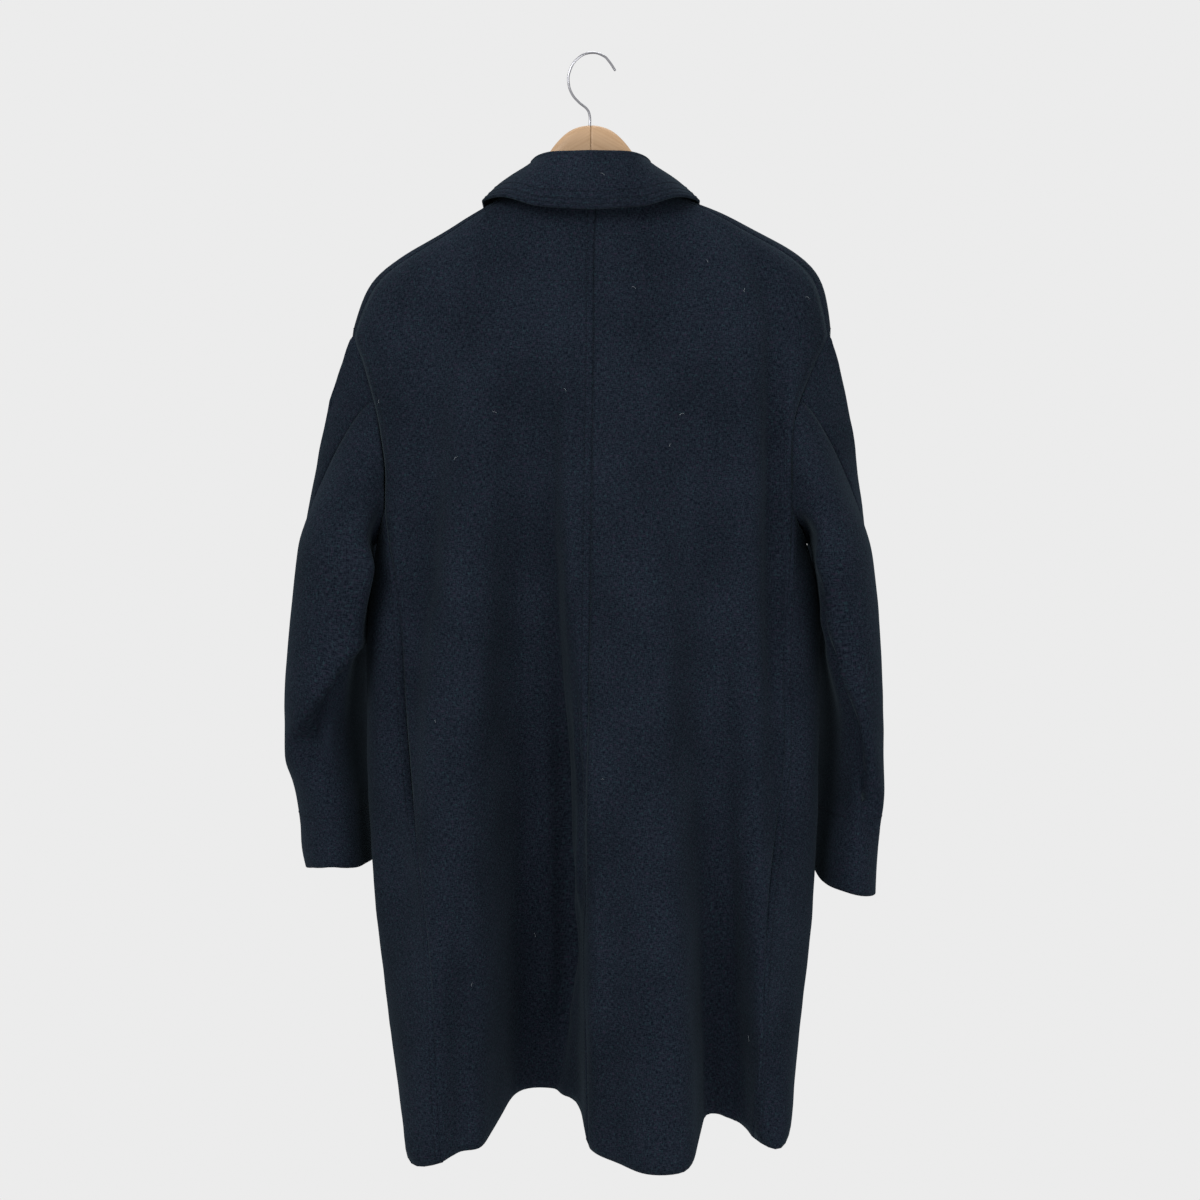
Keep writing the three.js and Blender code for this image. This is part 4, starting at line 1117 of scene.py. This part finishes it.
# %% [markdown]
# The buttons are hidden behind the coat here, but the front needs them. Each is a plain dark disc with a raised rim,
# a shallow dish and four holes. It starts as a cylinder: the rim is an inset face, and the dish is that face sunk.
# Small cylinders cut the holes with Boolean modifiers.
# %% Make one button
RIM = 2.0 * MM
DISH = 0.9 * MM
HOLE = 0.95 * MM
HOLE_APART = 2.3 * MM


def face_towards(piece, direction):
    """Selects the one face that looks most in a direction, in edit mode."""
    bpy.ops.object.mode_set(mode="OBJECT")
    faces = piece.data.polygons
    wanted = max(faces, key=lambda face: (round(face.normal.dot(direction), 3), face.center.dot(direction), face.area))
    for face in faces:
        face.select = face.index == wanted.index
    bpy.ops.object.mode_set(mode="EDIT")
    bpy.ops.mesh.select_mode(type="FACE")


def disc(radius, depth, place, segments):
    """A cylinder whose axis runs from back to front."""
    bpy.ops.object.select_all(action="DESELECT")
    bpy.ops.mesh.primitive_cylinder_add(vertices=segments, radius=radius, depth=depth, location=place,
                                        rotation=(math.radians(-90), 0, 0))
    bpy.ops.object.transform_apply(location=True, rotation=True, scale=True)
    return bpy.context.object


def button_at(node, place, radius, depth):
    button = disc(radius, depth, place, 48)
    button.name = node + "_disc"
    front = Vector((0, 1, 0))
    face_towards(button, front)
    bpy.ops.mesh.inset(thickness=RIM)
    bpy.ops.mesh.inset(thickness=DISH)
    bpy.ops.transform.translate(value=(0, -DISH, 0))
    bpy.ops.object.mode_set(mode="OBJECT")
    modifier = button.modifiers.new("rounded", "BEVEL")
    modifier.width = 0.5 * MM
    modifier.segments = 3
    modifier.limit_method = "ANGLE"
    apply_modifiers(button)
    for side in (-1, 1):
        for level in (-1, 1):
            cutter = disc(HOLE, depth * 3, place + Vector((side, 0, level)) * HOLE_APART, 16)
            modifier = button.modifiers.new("hole", "BOOLEAN")
            modifier.object = cutter
            apply_modifiers(button)
            bpy.data.objects.remove(cutter)
    pick(button)
    bpy.ops.object.shade_smooth_by_angle(angle=math.radians(35))
    return button


def button_thread(node, place, depth):
    """Two strands of thread, crossed over the four holes."""
    strands = []
    for slant in (45, -45):
        bpy.ops.object.select_all(action="DESELECT")
        bpy.ops.mesh.primitive_uv_sphere_add(segments=10, ring_count=8, radius=1, location=place)
        bpy.ops.object.mode_set(mode="EDIT")
        bpy.ops.mesh.select_all(action="SELECT")
        bpy.ops.transform.resize(value=(HOLE_APART * 1.5, 0.7 * MM, 0.6 * MM))
        bpy.ops.transform.rotate(value=math.radians(slant), orient_axis="Y", center_override=place)
        bpy.ops.transform.translate(value=(0, depth / 2 - DISH + 0.1 * MM, 0))
        bpy.ops.object.mode_set(mode="OBJECT")
        strands.append(bpy.context.object)
    for strand in strands:
        strand.select_set(True)
    bpy.ops.object.join()
    joined = bpy.context.object
    joined.name = node + "_thread"
    bpy.ops.object.transform_apply(location=True, rotation=True, scale=True)
    bpy.ops.object.shade_smooth()
    return joined


BUTTONS = ["button_1", "button_2", "button_3", "button_4"]
horn, _, _ = new_material("horn", Base_Color=(0.012, 0.011, 0.012, 1), Roughness=0.35, Specular_IOR_Level=0.5)
button_places = {}
for node in BUTTONS:
    low, high = (Vector(corner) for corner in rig.box(node))
    place, size = (low + high) / 2, high - low
    button_places[node] = (place, size)
    made = button_at(node, place, size.x / 2, size.y)
    made.data.materials.append(horn)
    settle(made, "button", node)
    made = button_thread(node, place, size.y)
    made.data.materials.append(thread)
    settle(made, "button")
print("buttons at", [tuple(round(v, 3) for v in place) for place, _ in button_places.values()])

# %% [markdown]
# Each button has a slit in the cloth behind it, whipped round with thread. A torus drawn out sideways has that form.
# It is laid on the front panel: each of its points is moved by as far as the cloth lies from a flat plane there.
# %% Buttonholes
SLIT = 30 * MM


def buttonhole(node, place, skin):
    bpy.ops.object.select_all(action="DESELECT")
    bpy.ops.mesh.primitive_torus_add(major_segments=40, minor_segments=8, major_radius=1, minor_radius=0.3,
                                     rotation=(math.radians(90), 0, 0), location=(0, 0, 0))
    bpy.ops.object.transform_apply(location=False, rotation=True, scale=False)
    bpy.ops.object.mode_set(mode="EDIT")
    bpy.ops.mesh.select_all(action="SELECT")
    bpy.ops.transform.resize(value=(SLIT / 2 / 1.3, 0.8 * MM, 1.6 * MM))
    bpy.ops.transform.translate(value=(place.x + 3 * MM, 0, place.z))
    bpy.ops.object.mode_set(mode="OBJECT")
    made = bpy.context.object
    made.name = node + "_hole"
    for vertex in made.data.vertices:
        hit = skin.ray_cast(Vector((vertex.co.x, 1, vertex.co.z)), Vector((0, -1, 0)))[0]
        vertex.co.y += hit.y
    bpy.ops.object.shade_smooth()
    return made


holes = []
for node, (place, _) in button_places.items():
    made = buttonhole(node, place, skins["front_left"])
    made.data.materials.append(thread)
    settle(made, "wool")
    holes.append(made.name)
print("buttonholes", holes)

# %% [markdown]
# The hanger is turned and shaped from two pieces of pale wood that are glued at the middle.
# Each arm starts as a square with rounded corners, at the joint, and is extruded and resized from one section to the
# next, as the wood would be shaped to its patterns. A subdivided surface then rounds the arm off.
# %% The wooden arms
ARM = [
    # across, top, height, half of the depth, forward, all in millimetres
    (0.1, -72.6, 46, 7.5, 0), (12, -73.8, 46, 7.5, 0), (24, -79, 45, 7.5, 0), (34, -88.6, 42, 7.5, 0),
    (44, -100.8, 39, 7.5, 0.5), (60, -129, 32, 7.8, 1), (78, -147.8, 31, 8, 2), (110, -161.5, 32, 8.5, 5),
    (147, -178.4, 31, 9.5, 9), (175, -193.3, 29, 10.5, 12), (196, -206.6, 26, 10, 12), (206, -216, 19, 8.5, 13),
]


CREST = 44
TILT = math.tan(math.radians(2.6))


def section(row, side):
    """The middle and the half sizes of one section of an arm. Beyond the crest the hanger hangs a little aslant."""
    x, top, height, half, forward = (value * MM for value in row)
    lift = side * TILT * max(0, x - CREST * MM)
    return Vector((side * x, forward, top - height / 2 + lift)), half, height / 2


def arm(name, side):
    bpy.ops.object.select_all(action="DESELECT")
    middle, half, tall = section(ARM[0], side)
    bpy.ops.mesh.primitive_plane_add(size=2, location=middle, rotation=(0, math.radians(90) * side, 0))
    bpy.ops.object.transform_apply(location=True, rotation=True, scale=True)
    made = bpy.context.object
    made.name = name
    bpy.ops.object.mode_set(mode="EDIT")
    bpy.ops.mesh.select_all(action="SELECT")
    bpy.ops.transform.resize(value=(1, half, tall), center_override=middle)
    bpy.ops.mesh.bevel(offset_pct=37, offset_type="PERCENT", segments=5, affect="VERTICES")
    for before, after in zip(ARM, ARM[1:]):
        (start, half_1, tall_1), (end, half_2, tall_2) = section(before, side), section(after, side)
        bpy.ops.mesh.select_mode(type="FACE")
        bpy.ops.mesh.extrude_region_move(TRANSFORM_OT_translate={"value": end - start})
        bpy.ops.transform.resize(value=(1, half_2 / half_1, tall_2 / tall_1), center_override=end)
    bpy.ops.object.mode_set(mode="OBJECT")
    for outward in (Vector((side, 0, 0)), Vector((-side, 0, 0))):
        face_towards(made, outward)
        bpy.ops.mesh.inset(thickness=0.3 * MM)
    bpy.ops.mesh.select_all(action="SELECT")
    bpy.ops.mesh.normals_make_consistent(inside=False)
    bpy.ops.object.mode_set(mode="OBJECT")
    modifier = made.modifiers.new("finer", "SUBSURF")
    modifier.levels = modifier.render_levels = 2
    apply_modifiers(made)
    bpy.ops.object.shade_smooth_by_angle(angle=math.radians(50))
    return made


# %% [markdown]
# The wood is a pale beech with a fine straight grain that runs along each arm, under a thin satin varnish.
# The grain is noise drawn out along the arm, so it needs only the place on the piece.
# %% Wood with a fine grain
grain_tree, taken, given = group(
    "wood grain", [("Place", "Vector", None), ("Pale", "Color", (0.38, 0.25, 0.147, 1)), ("Deep", "Color", (0.32, 0.2, 0.11, 1))],
    [("Colour", "Color"), ("Height", "Float")])
long = noise_along(grain_tree, taken.outputs["Place"], (14, 420, 420), 3)
broad = noise_along(grain_tree, taken.outputs["Place"], (5, 70, 70), 2, 9)
figure = sum_of(grain_tree, "MULTIPLY", sum_of(grain_tree, "ADD", long, broad), 0.5)
grain_tree.links.new(mixed(grain_tree, stepped(grain_tree, figure, 0.38, 0.66), taken.outputs["Pale"],
                           taken.outputs["Deep"]), given.inputs["Colour"])
grain_tree.links.new(long, given.inputs["Height"])


def wood(name, slope):
    """Varnished wood whose grain runs at a slope to the level."""
    made, tree, shader = new_material(name, Roughness=0.45, Specular_IOR_Level=0.25, Coat_Weight=0.05, Coat_Roughness=0.3)
    turned = add(tree, "Mapping", {"Vector": add(tree, "TexCoord").outputs["Object"],
                                   "Rotation": (0, math.radians(slope), 0)})
    figured = use_group(tree, grain_tree, Place=turned.outputs[0])
    raised = add(tree, "Bump", {"Height": figured.outputs["Height"], "Strength": 0.15, "Distance": 0.1 * MM})
    tree.links.new(figured.outputs["Colour"], shader.inputs["Base Color"])
    tree.links.new(raised.outputs[0], shader.inputs["Normal"])
    return made


ARMS = {"hanger_arm_left": (-1, 28), "hanger_arm_right": (1, -28)}
for node, (side, slope) in ARMS.items():
    made = arm(node + "_wood", side)
    made.data.materials.append(wood(node + "_grain", slope))
    settle(made, "hanger_wood", node)
    print(made.name, len(made.data.polygons), "faces")

# %% [markdown]
# The hook is one length of thin wire, bent round and cut off. It is a curve with a round section.
# A small sphere rounds off the cut end.
# %% The wire hook
WIRE = 1.3 * MM
HOOK = [(-1, -100), (-1, -74), (-1.4, -62), (-3.4, -57), (-13, -48.5), (-19.3, -41), (-23, -30), (-22.2, -18.6),
        (-13.7, -4.6), (0, 1.3), (13.5, -2.1), (19.1, -7.8), (24.8, -16.2)]
curve = bpy.data.curves.new("hook_wire", "CURVE")
curve.dimensions = "3D"
curve.bevel_depth = WIRE
curve.bevel_resolution = 4
curve.resolution_u = 10
curve.use_fill_caps = True
spline = curve.splines.new("BEZIER")
spline.bezier_points.add(len(HOOK) - 1)
for point, (x, z) in zip(spline.bezier_points, HOOK):
    point.co = (x * MM, 0, z * MM)
    point.handle_left_type = point.handle_right_type = "AUTO"
wire = new_piece("hook_wire", curve)
pick(wire)
bpy.ops.object.convert(target="MESH")
wire = bpy.context.object
bpy.ops.object.select_all(action="DESELECT")
bpy.ops.mesh.primitive_uv_sphere_add(segments=20, ring_count=10, radius=WIRE * 1.02,
                                     location=(HOOK[-1][0] * MM, 0, HOOK[-1][1] * MM))
bpy.ops.object.transform_apply(location=True, rotation=True, scale=True)
tip = bpy.context.object
wire.select_set(True)
bpy.context.view_layer.objects.active = wire
bpy.ops.object.join()
bpy.ops.object.shade_smooth()
chrome, _, _ = new_material("chrome", Base_Color=(0.3, 0.3, 0.32, 1), Metallic=1.0, Roughness=0.22)
wire.data.materials.append(chrome)
settle(wire, "hook_metal", "hanger_hook")
print("hook of", len(wire.data.polygons), "faces")

# %% [markdown]
# Last, the cloth gets its thickness, inwards from the outer face, and its material.
# Every panel is declared as a sheet, with its cut size, what it hangs on and the small pieces that lie on it.
# %% Finish the panels
for node, panel in panels.items():
    modifier = panel.modifiers.new("wall", "SOLIDIFY")
    modifier.thickness = CLOTH
    modifier.offset = -1
    apply_modifiers(panel)
    panel.data.materials.append(collar_wool if node == "collar" else body_wool)
    settle(panel, "wool", node)
    on_it = [made for made in (stitches.get(node), hairs.get(node)) if made]
    for made in on_it:
        settle(made, "wool")
    names = [made.name for made in on_it] + (holes if node == "front_left" else [])
    width, length, area = cuts[node]
    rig.sheet(panel, flat=(width, length), held="hung", rests_on=PANELS[node][1], area=min(area, width * length),
             with_pieces=names)
print("sheets", len(panels))

# %% [markdown]
# The box of the finished coat should be that of the CAD model, give or take the fuzz and the stitches.
# %% Write out both boxes and close
box = [list(corner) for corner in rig.bounds()]
with open("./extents.json", "w") as file:
    json.dump({"cad": cad_box, "visual": box}, file)
print("visual box in metres:", box)
